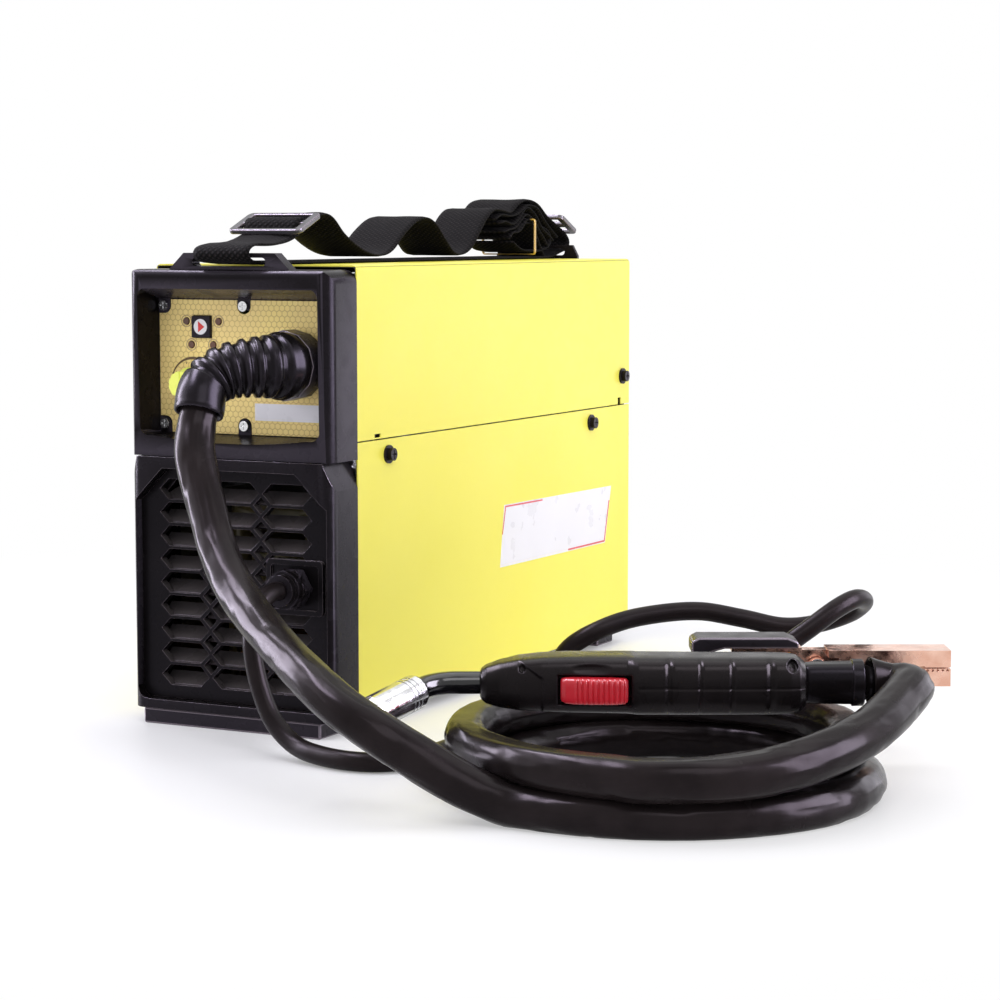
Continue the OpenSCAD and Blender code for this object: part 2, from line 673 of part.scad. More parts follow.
module control_board() {
    color("#20603C") difference() {
        union() {
            translate([-50, board_y, 187]) cube([70, 1.6, 56]);
            for (p = pin_at) rod_y(2.6, panel_y + panel_t, board_y + 0.4, p[0], p[1]);
            rod_y(8, board_y + 1, board_y + 9, knob_x, knob_z);
            rod_y(4.5, board_y - 4, board_y + 1, knob_x, knob_z);
            translate([button_x - 5, board_y - 2.2, button_z - 5]) cube([10, 2.6, 10]);
            translate([0, board_y + 1.5, 195]) cube([12, 7, 24]);
        }
        rod_y(2.5 + run_fit, panel_y, board_y + 8, knob_x, knob_z);
    }
}

module mode_button() {
    color("#2A2A2C") union() {
        translate([button_x - 6.4, panel_y - 2, button_z - 6.4]) cube([12.8, 4.8, 12.8]);
        rod_y(2, panel_y + 2.5, board_y - 3.5, button_x, button_z);
    }
}

module indicator_leds() {
    color("#D04038") for (p = led_at) {
        rod_y(2, panel_y - 0.8, panel_y + 3, p[0], p[1]);
        rod_y(2.4, panel_y + panel_t + 0.3, panel_y + 3, p[0], p[1]);
        rod_y(1, panel_y + 2, board_y, p[0], p[1]);
    }
}

module power_knob() {
    color("#D8E04A") {
        difference() {
            union() {
                rod_y(knob_r, panel_y - 4, panel_y - 0.6, knob_x, knob_z);
                rod_y(knob_r - 1.8, panel_y - 14, panel_y - 3, knob_x, knob_z);
            }
            for (a = [0:30:359]) translate([knob_x + (knob_r - 1.2) * cos(a), panel_y - 4, knob_z + (knob_r - 1.2) * sin(a)])
                rotate([90, 0, 0]) cylinder(r = 1, h = 12);
            translate([knob_x - 0.5, panel_y - 15, knob_z]) cube([1, 1.6, knob_r]);
        }
        rod_y(2.5, panel_y - 1, board_y + 7, knob_x, knob_z);
    }
}

screw_spots = [[y_sheet + 36, seam_h - 9.5], [y_rear - 64, seam_h - 9.5], [y_rear - 12, seam_h + 20]];

module case_screws() {
    color("#1E1E20") for (p = screw_spots) difference() {
        union() {
            rod_x(5.5, hw, hw + 1.2, p[0], p[1]);
            rod_x(3.8, hw + 1, hw + 4.2, p[0], p[1]);
            rod_x(1.65, inner_w - 2.6, hw + 2, p[0], p[1]);
        }
        translate([hw + 3, p[0] - 0.5, p[1] - 2.8]) cube([2, 1, 5.6]);
        translate([hw + 3, p[0] - 2.8, p[1] - 0.5]) cube([2, 5.6, 1]);
    }
}

// ---- outlets ----

socket_r = 10.5;

module torch_socket() {
    color("#B08D3C") difference() {
        union() {
            rod_y(socket_r, y_front + 4, panel_y + panel_t + 1, outlet_x, wire_h);
            rod_y(12.6, panel_y + panel_t, panel_y + panel_t + 4, outlet_x, wire_h);
            rod_y(8, panel_y + 3, wheel_y - 36, outlet_x, wire_h);
            rod_y(4.5, wheel_y - 37, wheel_y - 19, outlet_x, wire_h);
        }
        rod_y(1.2, y_front, wheel_y, outlet_x, wire_h);
    }
}

module torch_nut() {
    color("#202022") difference() {
        union() {
            rod_y(18.4, panel_y - 5, panel_y - 0.3, outlet_x, wire_h);
            translate([outlet_x, panel_y - 4.5, wire_h]) rotate([90, 0, 0])
                cylinder(r = 20.4, h = panel_y - y_front - 5.5, $fn = 12);
        }
        rod_y(socket_r + run_fit, y_front + 3.5, panel_y, outlet_x, wire_h);
    }
}

// Ribbed strain relief over the torch cable's first bend
boot_mid = [outlet_at, outlet_at - [0.5, 5, 0], [34, -219, wire_h], [27.5, -226, wire_h - 0.4],
    [20.5, -232.5, wire_h - 1.6], [14.5, -239, wire_h - 4.6], [11.5, -246, wire_h - 10], boot_mouth - 9 * lead_dir, boot_mouth - 4 * lead_dir, boot_mouth];

module torch_boot() {
    q = smooth(boot_mid, 4);
    n = len(q) - 1;
    r = [for (i = [0:n]) i > n - 8 ? 14.2 : i < 3 ? 19.4 : (i % 4 < 2 ? 19.2 : 17.2) - 3.6 * i / n];
    color("#1C1C1E") tube(q, r, 16);
}

module ground_gland() {
    color("#1C1C1E") {
        translate([gland_x, grille_y - 3.2, gland_z]) rotate([90, 0, 0]) cylinder(r = 12.6, h = 8, $fn = 6);
        rod_y(11, y_front - 8, grille_y - 11, gland_x, gland_z);
        rod_y(9, y_front - 12, y_front - 7, gland_x, gland_z);
        rod_y(6, grille_y - 4, grille_y + 16, gland_x, gland_z);
        translate([gland_x, grille_y + 15.5, gland_z]) rotate([90, 0, 0]) cylinder(r = 10, h = 5, $fn = 6);
    }
}

// ---- wire feed ----

pad = 8;

module feed_plate() {
    color("#B9BCBE") difference() {
        union() {
            translate([plate_x, wheel_y - 36, shelf_z]) cube([3, 76, arm_z + 6 - shelf_z]);
            translate([plate_x - 12, wheel_y - 36, shelf_z]) cube([14, 20, 2.5]);
            translate([plate_x - 12, wheel_y + 22, shelf_z]) cube([14, 18, 2.5]);
            translate([outlet_x - 4, wheel_y + 18, wire_h - 6]) cube([12.5, 12, 10]);
            rod_x(2.5, outlet_x - 6, plate_x + 1, arm_y, arm_z);
            rod_x(2.5, outlet_x - 6, plate_x + 1, lever_y, lever_z);
        }
        translate([plate_x - 1, wheel_y - 14, shelf_z - 1]) cube([5, 28, drive_z - shelf_z - 13]);
        rod_x(5, plate_x - 1, plate_x + 4, wheel_y, drive_z);
        rod_y(1.2, wheel_y + 10, wheel_y + 40, outlet_x, wire_h);
    }
}

lever_y = wheel_y - 27;
lever_z = wire_h + 12;

module feed_motor() {
    color("#6E7276") difference() {
        union() {
            translate([plate_x + 3, wheel_y - 15, drive_z - 18]) cube([14, 30, 33]);
            translate([motor_x, wheel_y, shelf_z - 56]) cylinder(r = motor_r, h = drive_z - 17 - shelf_z + 56);
            translate([motor_x, wheel_y, shelf_z - 60]) cylinder(r = 3, h = 5);
        }
        rod_x(4 + run_fit, plate_x, plate_x + 12, wheel_y, drive_z);
    }
}

module drive_roller() {
    color("#A9ACAE") difference() {
        union() {
            rod_x(roller_d / 2, outlet_x - 5, outlet_x + 5, wheel_y, drive_z);
            rod_x(4, outlet_x - 7, plate_x + 11.5, wheel_y, drive_z);
            rod_x(7, outlet_x - 8, outlet_x - 5.5, wheel_y, drive_z);
        }
        for (a = [45:90:359]) rod_x(2, outlet_x - 6, outlet_x + 6, wheel_y + 9.5 * cos(a), drive_z + 9.5 * sin(a));
    }
}

module pressure_arm() {
    top = press_z + pressure_d / 2 + 1.5;
    color("#2B2B2D") difference() {
        union() {
            translate([outlet_x - 6.5, wheel_y - 31, top]) cube([13, 66, 5]);
            for (x = [outlet_x - 6.5, outlet_x + 4.3]) {
                translate([x, wheel_y - 7, press_z - 4]) cube([2.2, 14, top - press_z + 5]);
                translate([x, arm_y - 7, arm_z - 5]) cube([2.2, 15, top - arm_z + 6]);
            }
            rod_x(2.5, outlet_x - 6, outlet_x + 6, wheel_y, press_z);
        }
        rod_x(2.5 + run_fit, outlet_x - 8, outlet_x + 8, arm_y, arm_z);
        translate([outlet_x - 3.6, wheel_y - 32, top - 1]) cube([7.2, 12, 7]);
    }
}

module pressure_roller() {
    color("#A9ACAE") difference() {
        rod_x(pressure_d / 2, outlet_x - 4, outlet_x + 4, wheel_y, press_z);
        rod_x(2.5 + run_fit, outlet_x - 6, outlet_x + 6, wheel_y, press_z);
    }
}

module tension_lever() {
    color("#D23A2E") translate([outlet_x, lever_y, lever_z]) rotate([45, 0, 0]) difference() {
        union() {
            rod_x(5, -3.4, 3.4, 0, 0);
            cylinder(r = 3, h = 40);
            translate([0, 0, 26.5]) cylinder(r = 5.5, h = 10.5);
        }
        rod_x(2.5 + run_fit, -5, 5, 0, 0);
    }
}

spool_x1 = wall_x - 3.4;
spool_x0 = spool_x1 - spool_w;
hub_r = 22;

module spool_spindle() {
    color("#3C3C40") {
        rod_x(11, wall_x - 3, wall_x, spool_y, spool_z);
        rod_x(spool_bore / 2 - run_fit, spool_x0 - 0.4, wall_x - 2, spool_y, spool_z);
        rod_x(5, spool_x0 - 9, spool_x0, spool_y, spool_z);
        rod_x(3.5, wall_x - 1, wall_x + 5.6, spool_y, spool_z);
        translate([wall_x + shelf_t, spool_y, spool_z]) rotate([0, 90, 0]) cylinder(r = 6, h = 4, $fn = 6);
    }
}

module spool() {
    color("#E8E8E6") difference() {
        union() {
            rod_x(spool_d / 2, spool_x0, spool_x0 + 3, spool_y, spool_z);
            rod_x(spool_d / 2, spool_x1 - 3, spool_x1, spool_y, spool_z);
            rod_x(hub_r, spool_x0 + 2, spool_x1 - 2, spool_y, spool_z);
        }
        rod_x(spool_bore / 2, spool_x0 - 1, spool_x1 + 1, spool_y, spool_z);
        for (a = [0:60:359])
            rod_x(4.5, spool_x0 - 1, spool_x1 + 1, spool_y + 14.5 * cos(a), spool_z + 14.5 * sin(a));
    }
}

module wire_winding() {
    color("#B87A45") difference() {
        rod_x(spool_d / 2 - 6, spool_x0 + 3, spool_x1 - 3, spool_y, spool_z);
        rod_x(hub_r + 0.04, spool_x0 + 2, spool_x1 - 2, spool_y, spool_z);
    }
}

module spool_nut() {
    color("#202022") difference() {
        union() {
            rod_x(12, spool_x0 - 4, spool_x0 - 0.6, spool_y, spool_z);
            translate([spool_x0 - 11, spool_y, spool_z]) rotate([0, 90, 0]) cylinder(r = 10, h = 8, $fn = 6);
        }
        rod_x(5 + run_fit, spool_x0 - 9.4, spool_x0 + 1, spool_y, spool_z);
    }
}

// ---- power parts ----

board_z = foot_h + sheet_t + 12;

module main_board() {
    color("#1F5A3A") {
        translate([-60, -40, board_z]) cube([120, 196, 1.6]);
        for (x = [-52, 52]) for (y = [-32, 148]) translate([x, y, foot_h + sheet_t]) cylinder(r = 4, h = 12.2);
        for (x = [-34, 0, 34]) translate([x, 128, board_z + 1]) cylinder(r = 14, h = 46);
    }
    color("#A6A9AB") for (s = [-1, 1]) {
        translate([s * 30 - 26, -20, board_z + 1.2]) cube([52, 120, 6]);
        for (i = [0:7]) translate([s * 30 - 25 + 6.8 * i, -20, board_z + 7]) cube([1.8, 120, 44]);
    }
}

core_y = wheel_y - 56;

module transformer() {
    color("#5A4A3C") {
        for (x = [-30, 26]) for (y = [core_y, core_y + 30]) translate([x, y, foot_h + sheet_t]) cube([5, 5, 54]);
        translate([-32, core_y - 1, foot_h + sheet_t + 52]) cube([65, 37, 3]);
        difference() {
            translate([-30, core_y + 4, foot_h + 57]) cube([60, 27, 64]);
            for (s = [-1, 1]) translate([s * 16 - 6, core_y, foot_h + 66]) cube([12, 40, 46]);
        }
        translate([0, core_y + 17.5, foot_h + 67]) difference() {
            cylinder(r = 20.5, h = 44);
            translate([-9, -12.6, -1]) cube([18, 25.2, 46]);
        }
    }
}

module output_choke() {
    color("#B0703A") {
        translate([-56, -108, foot_h + sheet_t]) cube([112, 3, 30]);
        for (x = [-30, 30]) translate([x, -75, foot_h + sheet_t]) {
            cylinder(r = 3, h = 10);
            translate([0, 0, 8]) difference() {
                cylinder(r = 27, h = 26);
                translate([0, 0, -1]) cylinder(r = 11, h = 28);
            }
            translate([-12, -3, 8]) cube([24, 6, 4]);
        }
        translate([-30, -105.5, foot_h + sheet_t + 14]) cube([60, 8, 6]);
    }
}

module fan_frame() {
    color("#232325") difference() {
        union() {
            difference() {
                translate([fan_x - 40, rear_y - 25, fan_z - 40]) cube([80, 25, 80]);
                rod_y(38.2, rear_y - 26, rear_y + 1, fan_x, fan_z);
            }
            for (a = [45:90:359]) translate([fan_x, rear_y - 23.5, fan_z]) rotate([90, 0, 0])
                rotate(a) translate([12, -1.5, 0]) cube([28, 3, 1.4]);
            rod_y(14, rear_y - 24.9, rear_y - 22, fan_x, fan_z);
            rod_y(2, rear_y - 23, rear_y - 8, fan_x, fan_z);
        }
    }
}

module fan_rotor() {
    color("#2E2E31") difference() {
        union() {
            rod_y(13, rear_y - 21, rear_y - 3, fan_x, fan_z);
            for (a = [0:360 / 7:359]) translate([fan_x, rear_y - 12, fan_z]) rotate([0, a, 0])
                translate([0, 0, 12]) rotate([0, 0, 38]) translate([-9, -0.8, 0]) cube([18, 1.6, fan_r - 14]);
        }
        rod_y(2 + run_fit, rear_y - 22, rear_y - 7.5, fan_x, fan_z);
    }
}

module switch_frame() {
    color("#19191B") difference() {
        union() {
            translate([switch_x - 13, rear_y + rear_t, switch_z - 16]) cube([26, 2.4, 32]);
            translate([switch_x - 10.8, rear_y - 20, switch_z - 13.8]) cube([21.6, 24, 27.6]);
        }
        translate([switch_x - 8.6, rear_y - 10, switch_z - 11.6]) cube([17.2, 18, 23.2]);
    }
    color("#C6A24A") for (z = [-8, 8]) translate([switch_x - 3, rear_y - 28, switch_z + z - 0.5]) cube([6, 9, 1]);
    color("#19191B") rod_x(1.5, switch_x - 9, switch_x + 9, rocker_y, switch_z);
}

rocker_y = rear_y + 2;

module power_rocker() {
    color("#B8281E") difference() {
        translate([0, rocker_y, switch_z]) rotate([8, 0, 0]) along_x(switch_x - 8.2, switch_x + 8.2)
            polygon([[-4, -7], [-4, 7], [4, 10.4], [6, 10.4], [3.6, 0], [6, -10.4], [4, -10.4]]);
        rod_x(1.5 + run_fit, switch_x - 9, switch_x + 9, rocker_y, switch_z);
    }
}

module cord_inlet() {
    color("#1C1C1E") difference() {
        union() {
            rod_y(8, rear_y - 14, rear_y + 8, inlet_x, inlet_z);
            translate([inlet_x, rear_y + 9, inlet_z]) rotate([90, 0, 0]) cylinder(r = 12, h = 6, $fn = 6);
            rod_y(9.5, rear_y + 8.5, rear_y + 20, inlet_x, inlet_z);
            translate([inlet_x, rear_y, inlet_z]) rotate([90, 0, 0]) cylinder(r = 11.5, h = 5, $fn = 6);
        }
        rod_y(4.6, rear_y - 15, rear_y + 21, inlet_x, inlet_z);
    }
}

// ---- torch ----

module at_torch() {
    translate(torch_at) rotate([0, 0, lay_yaw]) children();
}

grip_x = [104, 117, 130, 143, 156];
half_h = handle_h / 2;
back_y = handle_d / 2 - 2;

// Side outline of the handle: X along it, Y away from the trigger
module handle_plan() {
    difference() {
        union() {
            polygon(concat(
                [[0, -12], [4, -15.5], [30, -16.5], [38, -back_y], [60, -back_y - 2], [90, -back_y - 1.5],
                    [110, -back_y], [150, -back_y + 1]],
                arc(handle_len - 12, -6, 12, -90, 0), arc(handle_len - 12, 6, 12, 0, 90),
                [[140, back_y - 1], [80, back_y], [36, back_y - 1], [30, 15.5], [4, 14], [0, 11]]
            ));
        }
        for (x = grip_x) translate([x, -back_y - 3.6]) circle(5.4);
    }
}

// End view of the handle: Y and Z
module handle_section(z0, z1) {
    intersection() {
        polygon([[-22, -half_h + 6], [-15, -half_h], [14, -half_h], [20, -half_h + 6], [20, half_h - 6],
            [14, half_h], [-15, half_h], [-22, half_h - 6]]);
        translate([-30, z0]) square([60, z1 - z0]);
    }
}

module handle_half(z0, z1) {
    at_torch() difference() {
        intersection() {
            translate([0, 0, -half_h]) linear_extrude(handle_h) handle_plan();
            along_x(-1, handle_len + 1) handle_section(z0, z1);
        }
        translate([34, -13, -9]) cube([handle_len - 48, 26, 18]);
        translate([trigger_x, -30, -7.3]) cube([trigger_len + 1.8, 20, 14.6]);
        rod_x(neck_d / 2, -1, 36, 0, 0);
        rod_x(8, handle_len - 16, handle_len + 1, 0, 0);
        for (x = [22, 96, 162]) translate([x, 15 - 4 * (x > 90 ? 1 : 0), -half_h - 1]) cylinder(r = 2.6, h = 4);
    }
}

module torch_handle_upper() {
    color("#222224") handle_half(0.15, half_h);
}

module torch_handle_lower() {
    color("#222224") handle_half(-half_h, -0.15);
    at_torch() color("#222224") translate([trigger_x + trigger_len - 4, -11, -9.5]) cylinder(r = 1.5, h = 18.2);
}

module torch_trigger() {
    x1 = trigger_x + trigger_len;
    color("#E0352B") at_torch() difference() {
        translate([0, 0, -6.8]) linear_extrude(13.6) difference() {
            polygon([[trigger_x + 1.2, -20], [trigger_x + 6, -24.5], [x1 - 20, -24.5], [x1 - 1, -22],
                [x1, -20.5], [x1, -8.5], [trigger_x + 1.2, -10.5]]);
            for (i = [0:10]) translate([x1 - 22.6 + 2 * i, -24.8 + 0.1 * i]) circle(0.6, $fn = 12);
        }
        translate([x1 - 4, -11, -9]) cylinder(r = 1.5 + run_fit, h = 18);
    }
}

// Middle line of the swan neck
bend_down = [0, -cos(neck_drop), -sin(neck_drop)];
neck_arc = [for (i = [0:10]) let (a = neck_turn * i / 10)
    [-neck_straight - neck_bend_r * sin(a), 0, 0] + neck_bend_r * (1 - cos(a)) * bend_down];
neck_out = [-cos(neck_turn), 0, 0] + sin(neck_turn) * bend_down;
neck_end = neck_arc[10];

module along_neck(s) {
    translate(neck_end + s * neck_out) rotate([0, 0, atan2(neck_out[1], neck_out[0])])
        rotate([0, acos(neck_out[2]), 0]) children();
}

module torch_neck() {
    p = concat([[34, 0, 0], [20, 0, 0], [6, 0, 0]], neck_arc, [neck_end + 2 * neck_out]);
    color("#151517") at_torch() {
        tube(p, [for (i = p) neck_d / 2 - 0.3], 24);
        along_neck(1.5) cylinder(r = 8, h = nozzle_gap - 1.5);
    }
}

module torch_nozzle() {
    color("#D4D6D8") at_torch() {
        along_neck(nozzle_gap) difference() {
            union() {
                cylinder(r = nozzle_d / 2, h = nozzle_len * 0.72);
                translate([0, 0, nozzle_len * 0.72 - 0.1])
                    cylinder(r1 = nozzle_d / 2, r2 = nozzle_d / 2 - 2.4, h = nozzle_len * 0.28);
            }
            translate([0, 0, 6]) cylinder(r = nozzle_d / 2 - 3.4, h = nozzle_len);
            for (s = [4, 7, 10]) translate([0, 0, s]) difference() {
                cylinder(r = nozzle_d, h = 1);
                translate([0, 0, -1]) cylinder(r = nozzle_d / 2 - 0.6, h = 3);
            }
        }
        along_neck(nozzle_gap + 5.9) cylinder(r = 3.4, h = nozzle_len - 12);
    }
}

module torch_rear_boot() {
    color("#1A1A1C") at_torch() {
        rod_x(7.7, handle_len - 13, handle_len + 1, 0, 0);
        rod_x(11, handle_len + 0.3, handle_len + 26, 0, 0);
        rod_x(12.2, handle_len + 25, handle_len + 31, 0, 0);
        rod_x(11.2, handle_len + 30.5, handle_len + 37, 0, 0);
    }
}

// ---- ground clamp ----

module at_clamp() {
    translate(clamp_at) rotate([0, 0, lay_yaw]) children();
}

jaw_h = 9;
tip_x = jaw_len - 14;
knuckle_w = 9.4;

module jaw_teeth(s) {
    for (i = [0:4]) translate([tip_x + 1.4 + 2.7 * i, -jaw_w / 2 - 1, s * 0.2 - 0.9])
        rotate([0, 45, 0]) translate([-0.6, 0, -0.6]) cube([1.3, jaw_w + 2, 1.3]);
}

module clamp_upper_jaw() {
    color("#B5703E") at_clamp() difference() {
        union() {
            translate([6, -jaw_w / 2, 1]) cube([jaw_len - 6, jaw_w, jaw_h - 0.5]);
            translate([tip_x, -jaw_w / 2, 0.4]) cube([14, jaw_w, 6]);
            rod_y(6.5, -knuckle_w / 2, knuckle_w / 2, 0, 0);
            translate([-14, -knuckle_w / 2, 2]) cube([22, knuckle_w, 7]);
            translate([-46, -6, 8]) cube([38, 12, 2.4]);
        }
        rod_y(3 + run_fit, -20, 20, 0, 0);
        translate([12, -jaw_w / 2 + 4, -1]) cube([tip_x - 16, jaw_w - 8, jaw_h - 1]);
        translate([0, 0, 0.2]) jaw_teeth(1);
        difference() {
            rod_y(13, -20, 20, 0, 0);
            rod_y(30, -knuckle_w / 2, knuckle_w / 2, 0, 0);
            translate([-60, -20, 5.5]) cube([120, 40, 20]);
        }
    }
}

module clamp_lower_jaw() {
    color("#B5703E") at_clamp() {
        difference() {
            union() {
                translate([6, -jaw_w / 2, -jaw_h - 1]) cube([jaw_len - 6, jaw_w, jaw_h - 1]);
                translate([tip_x, -jaw_w / 2, -6.4]) cube([14, jaw_w, 6]);
                for (s = [-1, 1]) {
                    y0 = s * (jaw_w / 2 - 2) - 2;
                    rod_y(5.2, y0, y0 + 4, 0, 0);
                    translate([-5.2, y0, -9]) cube([10.4, 4, 9]);
                }
                translate([-14, -jaw_w / 2, -10]) cube([22, jaw_w, 1.9]);
                translate([-46, -6, -10.4]) cube([38, 12, 2.4]);
            }
            rod_y(3 + run_fit, -20, 20, 0, 0);
            rod_y(7.3, -knuckle_w / 2 - 0.5, knuckle_w / 2 + 0.5, 0, 0);
            translate([12, -jaw_w / 2 + 4, -9]) cube([tip_x - 16, jaw_w - 8, jaw_h]);
            translate([0, 0, -0.2]) jaw_teeth(-1);
        }
        translate([-19, jaw_w / 2 - 4, -10]) cube([10, 8, 6]);
        rod_y(7, jaw_w / 2 + 2, lug_out, -lug_back, 0);
    }
}

module grip_shape(s) {
    along_y(-jaw_w / 2, jaw_w / 2) polygon([for (p = [
        [-10, 10.4], [-10, 14], [-16, 16.6], [-grip_len - 2, 16.6], [-grip_len - 6, 14.5], [-grip_len - 6, 7.6],
        [-grip_len, 7], [-50, 10.4]
    ]) [p[0], s * p[1]]]);
}

module clamp_upper_grip() {
    color("#1C1C1E") at_clamp() grip_shape(1);
}

module clamp_lower_grip() {
    color("#1C1C1E") at_clamp() grip_shape(-1);
}

module clamp_pivot() {
    color("#B9BCBE") at_clamp() {
        rod_y(3, -jaw_w / 2 - 1.6, jaw_w / 2 + 1.6, 0, 0);
        rod_y(5, -jaw_w / 2 - 3, -jaw_w / 2 - 0.3, 0, 0);
        rod_y(5, jaw_w / 2 + 0.3, jaw_w / 2 + 3, 0, 0);
    }
}

// ---- strap ----

function side_of(p, i, d) =
    let (t = unit(p[min(i + 1, len(p) - 1)] - p[max(i - 1, 0)])) p[i] + d * [-t[1], t[0]];

module band(pts, w, t) {
    p = smooth(pts, 3);
    n = len(p) - 1;
    along_x(-w / 2, w / 2) polygon(concat(
        [for (i = [0:n]) side_of(p, i, t / 2)],
        [for (i = [n:-1:0]) side_of(p, i, -t / 2)]
    ));
}

module strap_webbing() {
    color("#141416") {
        band(strap_pts, web_w, web_t);
        band(fold_pts, web_w - 1, web_t);
    }
}

module strap_slider(y, z, tilt) {
    translate([0, y, z]) rotate([tilt, 0, 0]) difference() {
        translate([0, 0, 0]) linear_extrude(3, center = true) difference() {
            round_rect(web_w + 12, 28, 4);
            for (s = [-1, 1]) translate([0, s * 6.6]) square([web_w + 2, 8.4], center = true);
        }
    }
}

module strap_buckles() {
    color("#4A4A4E") {
        strap_slider(-153, 296, 22);
        strap_slider(203, 296.1, -24);
    }
}

module rubber_band() {
    color("#D8B040") translate([0, 156, 0]) along_y(-1.2, 1.2) difference() {
        translate([0, 287.4]) round_rect(web_w + 3.4, 25, 2.2);
        translate([0, 287.4]) round_rect(web_w + 1.4, 23, 1.2);
    }
}

// ---- cables ----

torch_loop = concat(
    [[coil_at[0] - torch_cable_d, coil_front, z1], [coil_at[0] - torch_cable_d / 2, coil_front, z1]],
    coil_path(coil_at, torch_coil_r, torch_coil_pitch, 2, z1, layer_h, 1, -90, 24),
    [[coil_at[0] + torch_cable_d / 2, coil_front, z2], [coil_at[0] + torch_cable_d, coil_front, z2]]
);
ground_loop = concat(
    [[ground_coil_at[0] - ground_cable_d, gcoil_front, g1], [ground_coil_at[0] - 5, gcoil_front, g1]],
    coil_path(ground_coil_at, ground_coil_r, ground_coil_pitch, 2.75, g1, ground_layer_h, 1, -90, 24),
    [[gcoil_left, ground_coil_at[1] - 5, g2], [gcoil_left, ground_coil_at[1] - ground_cable_d, g2]]
);
echo("torch coil gap", self_gap(torch_loop, torch_cable_d, 24));
echo("ground coil gap", self_gap(ground_loop, ground_cable_d, 24));

module torch_lead() {
    color("#17171A") cord(torch_lead_pts, torch_cable_d, 12, 2);
}

module torch_coil() {
    color("#17171A") tube(torch_loop, [for (i = torch_loop) torch_cable_d / 2], 6);
}

module torch_tail() {
    color("#17171A") cord(torch_tail_pts, torch_cable_d, 12, 2);
}

module ground_lead() {
    color("#17171A") cord(ground_lead_pts, ground_cable_d, 10, 2);
}

module ground_coil() {
    color("#17171A") tube(ground_loop, [for (i = ground_loop) ground_cable_d / 2], 6);
}

module ground_tail() {
    color("#17171A") cord(ground_tail_pts, ground_cable_d, 10, 2);
}

lower_body();
upper_cover();
side_door();
door_hinges();
door_latch();
inner_frame();
foot_bars();
front_bezel();
lower_front();
front_grille();
rear_panel();
control_panel();
panel_screws();
control_board();
mode_button();
indicator_leds();
power_knob();
case_screws();
torch_socket();
torch_nut();
torch_boot();
ground_gland();
feed_plate();
feed_motor();
drive_roller();
pressure_arm();
pressure_roller();
tension_lever();
spool_spindle();
spool();
wire_winding();
spool_nut();
main_board();
transformer();
output_choke();
fan_frame();
fan_rotor();
switch_frame();
power_rocker();
cord_inlet();
torch_handle_upper();
torch_handle_lower();
torch_trigger();
torch_neck();
torch_nozzle();
torch_rear_boot();
clamp_upper_jaw();
clamp_lower_jaw();
clamp_upper_grip();
clamp_lower_grip();
clamp_pivot();
strap_webbing();
strap_buckles();
rubber_band();
torch_lead();
torch_coil();
torch_tail();
ground_lead();
ground_coil();
ground_tail();
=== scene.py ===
import json
import math
import bpy
import bmesh
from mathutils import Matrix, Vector, noise


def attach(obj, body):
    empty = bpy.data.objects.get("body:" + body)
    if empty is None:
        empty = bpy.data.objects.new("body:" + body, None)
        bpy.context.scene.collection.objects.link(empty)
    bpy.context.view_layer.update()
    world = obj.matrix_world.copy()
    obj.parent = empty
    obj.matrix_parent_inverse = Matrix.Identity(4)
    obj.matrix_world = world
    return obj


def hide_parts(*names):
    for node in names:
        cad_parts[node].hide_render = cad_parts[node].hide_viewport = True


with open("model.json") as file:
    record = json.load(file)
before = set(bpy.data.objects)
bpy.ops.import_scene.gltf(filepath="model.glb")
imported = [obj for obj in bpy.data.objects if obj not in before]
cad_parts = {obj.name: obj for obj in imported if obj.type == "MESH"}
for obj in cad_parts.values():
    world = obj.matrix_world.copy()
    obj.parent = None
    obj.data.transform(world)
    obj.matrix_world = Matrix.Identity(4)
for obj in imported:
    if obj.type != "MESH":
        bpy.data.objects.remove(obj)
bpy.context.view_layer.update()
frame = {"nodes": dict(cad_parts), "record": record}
nodes = frame["nodes"]
slot_of = {s["node"]: s["material_slot"] for s in frame["record"]["subparts"]}
scene = bpy.context.scene
MM = 0.001

# ---------------------------------------------------------------- camera
CAMERA_AT = (0.82192, -1.47961, 0.29243)
CAMERA_LOOK = (-0.44964, 0.88724, -0.10312)
CAMERA_LENS = 93.91

cam_data = bpy.data.cameras.new("view")
cam_data.sensor_width = 36
cam_data.lens = CAMERA_LENS
cam = bpy.data.objects.new("view", cam_data)
scene.collection.objects.link(cam)
cam.location = CAMERA_AT
cam.rotation_euler = Vector(CAMERA_LOOK).to_track_quat("-Z", "Y").to_euler()
scene.camera = cam

# ---------------------------------------------------------------- node helpers


def add(tree, kind, links=None, **props):
    """A node with its properties set and its inputs linked or given values."""
    n = tree.nodes.new(kind)
    for k, v in props.items():
        setattr(n, k, v)
    for k, v in (links or {}).items():
        if isinstance(v, bpy.types.NodeSocket):
            tree.links.new(v, n.inputs[k])
        else:
            n.inputs[k].default_value = v
    return n


def rgba(c):
    return (c[0], c[1], c[2], 1.0)


def calc(t, op, *values):
    return add(t, "ShaderNodeMath", dict(enumerate(values)), operation=op).outputs[0]


def ranged(t, value, lo, hi, to_lo=0.0, to_hi=1.0, **props):
    links = {"Value": value, "From Min": lo, "From Max": hi, "To Min": to_lo, "To Max": to_hi}
    return add(t, "ShaderNodeMapRange", links, **props).outputs["Result"]


def grain(t, co, scale, detail=2.0):
    return add(t, "ShaderNodeTexNoise", {"Vector": co, "Scale": scale, "Detail": detail}).outputs["Fac"]


def two_tone(t, fac, a, c, lo=0.0, hi=1.0):
    """A colour ramp from a at lo to c at hi."""
    r = add(t, "ShaderNodeValToRGB", {"Fac": fac})
    first, last = r.color_ramp.elements
    first.position, first.color = lo, rgba(a)
    last.position, last.color = hi, rgba(c)
    return r.outputs["Color"]


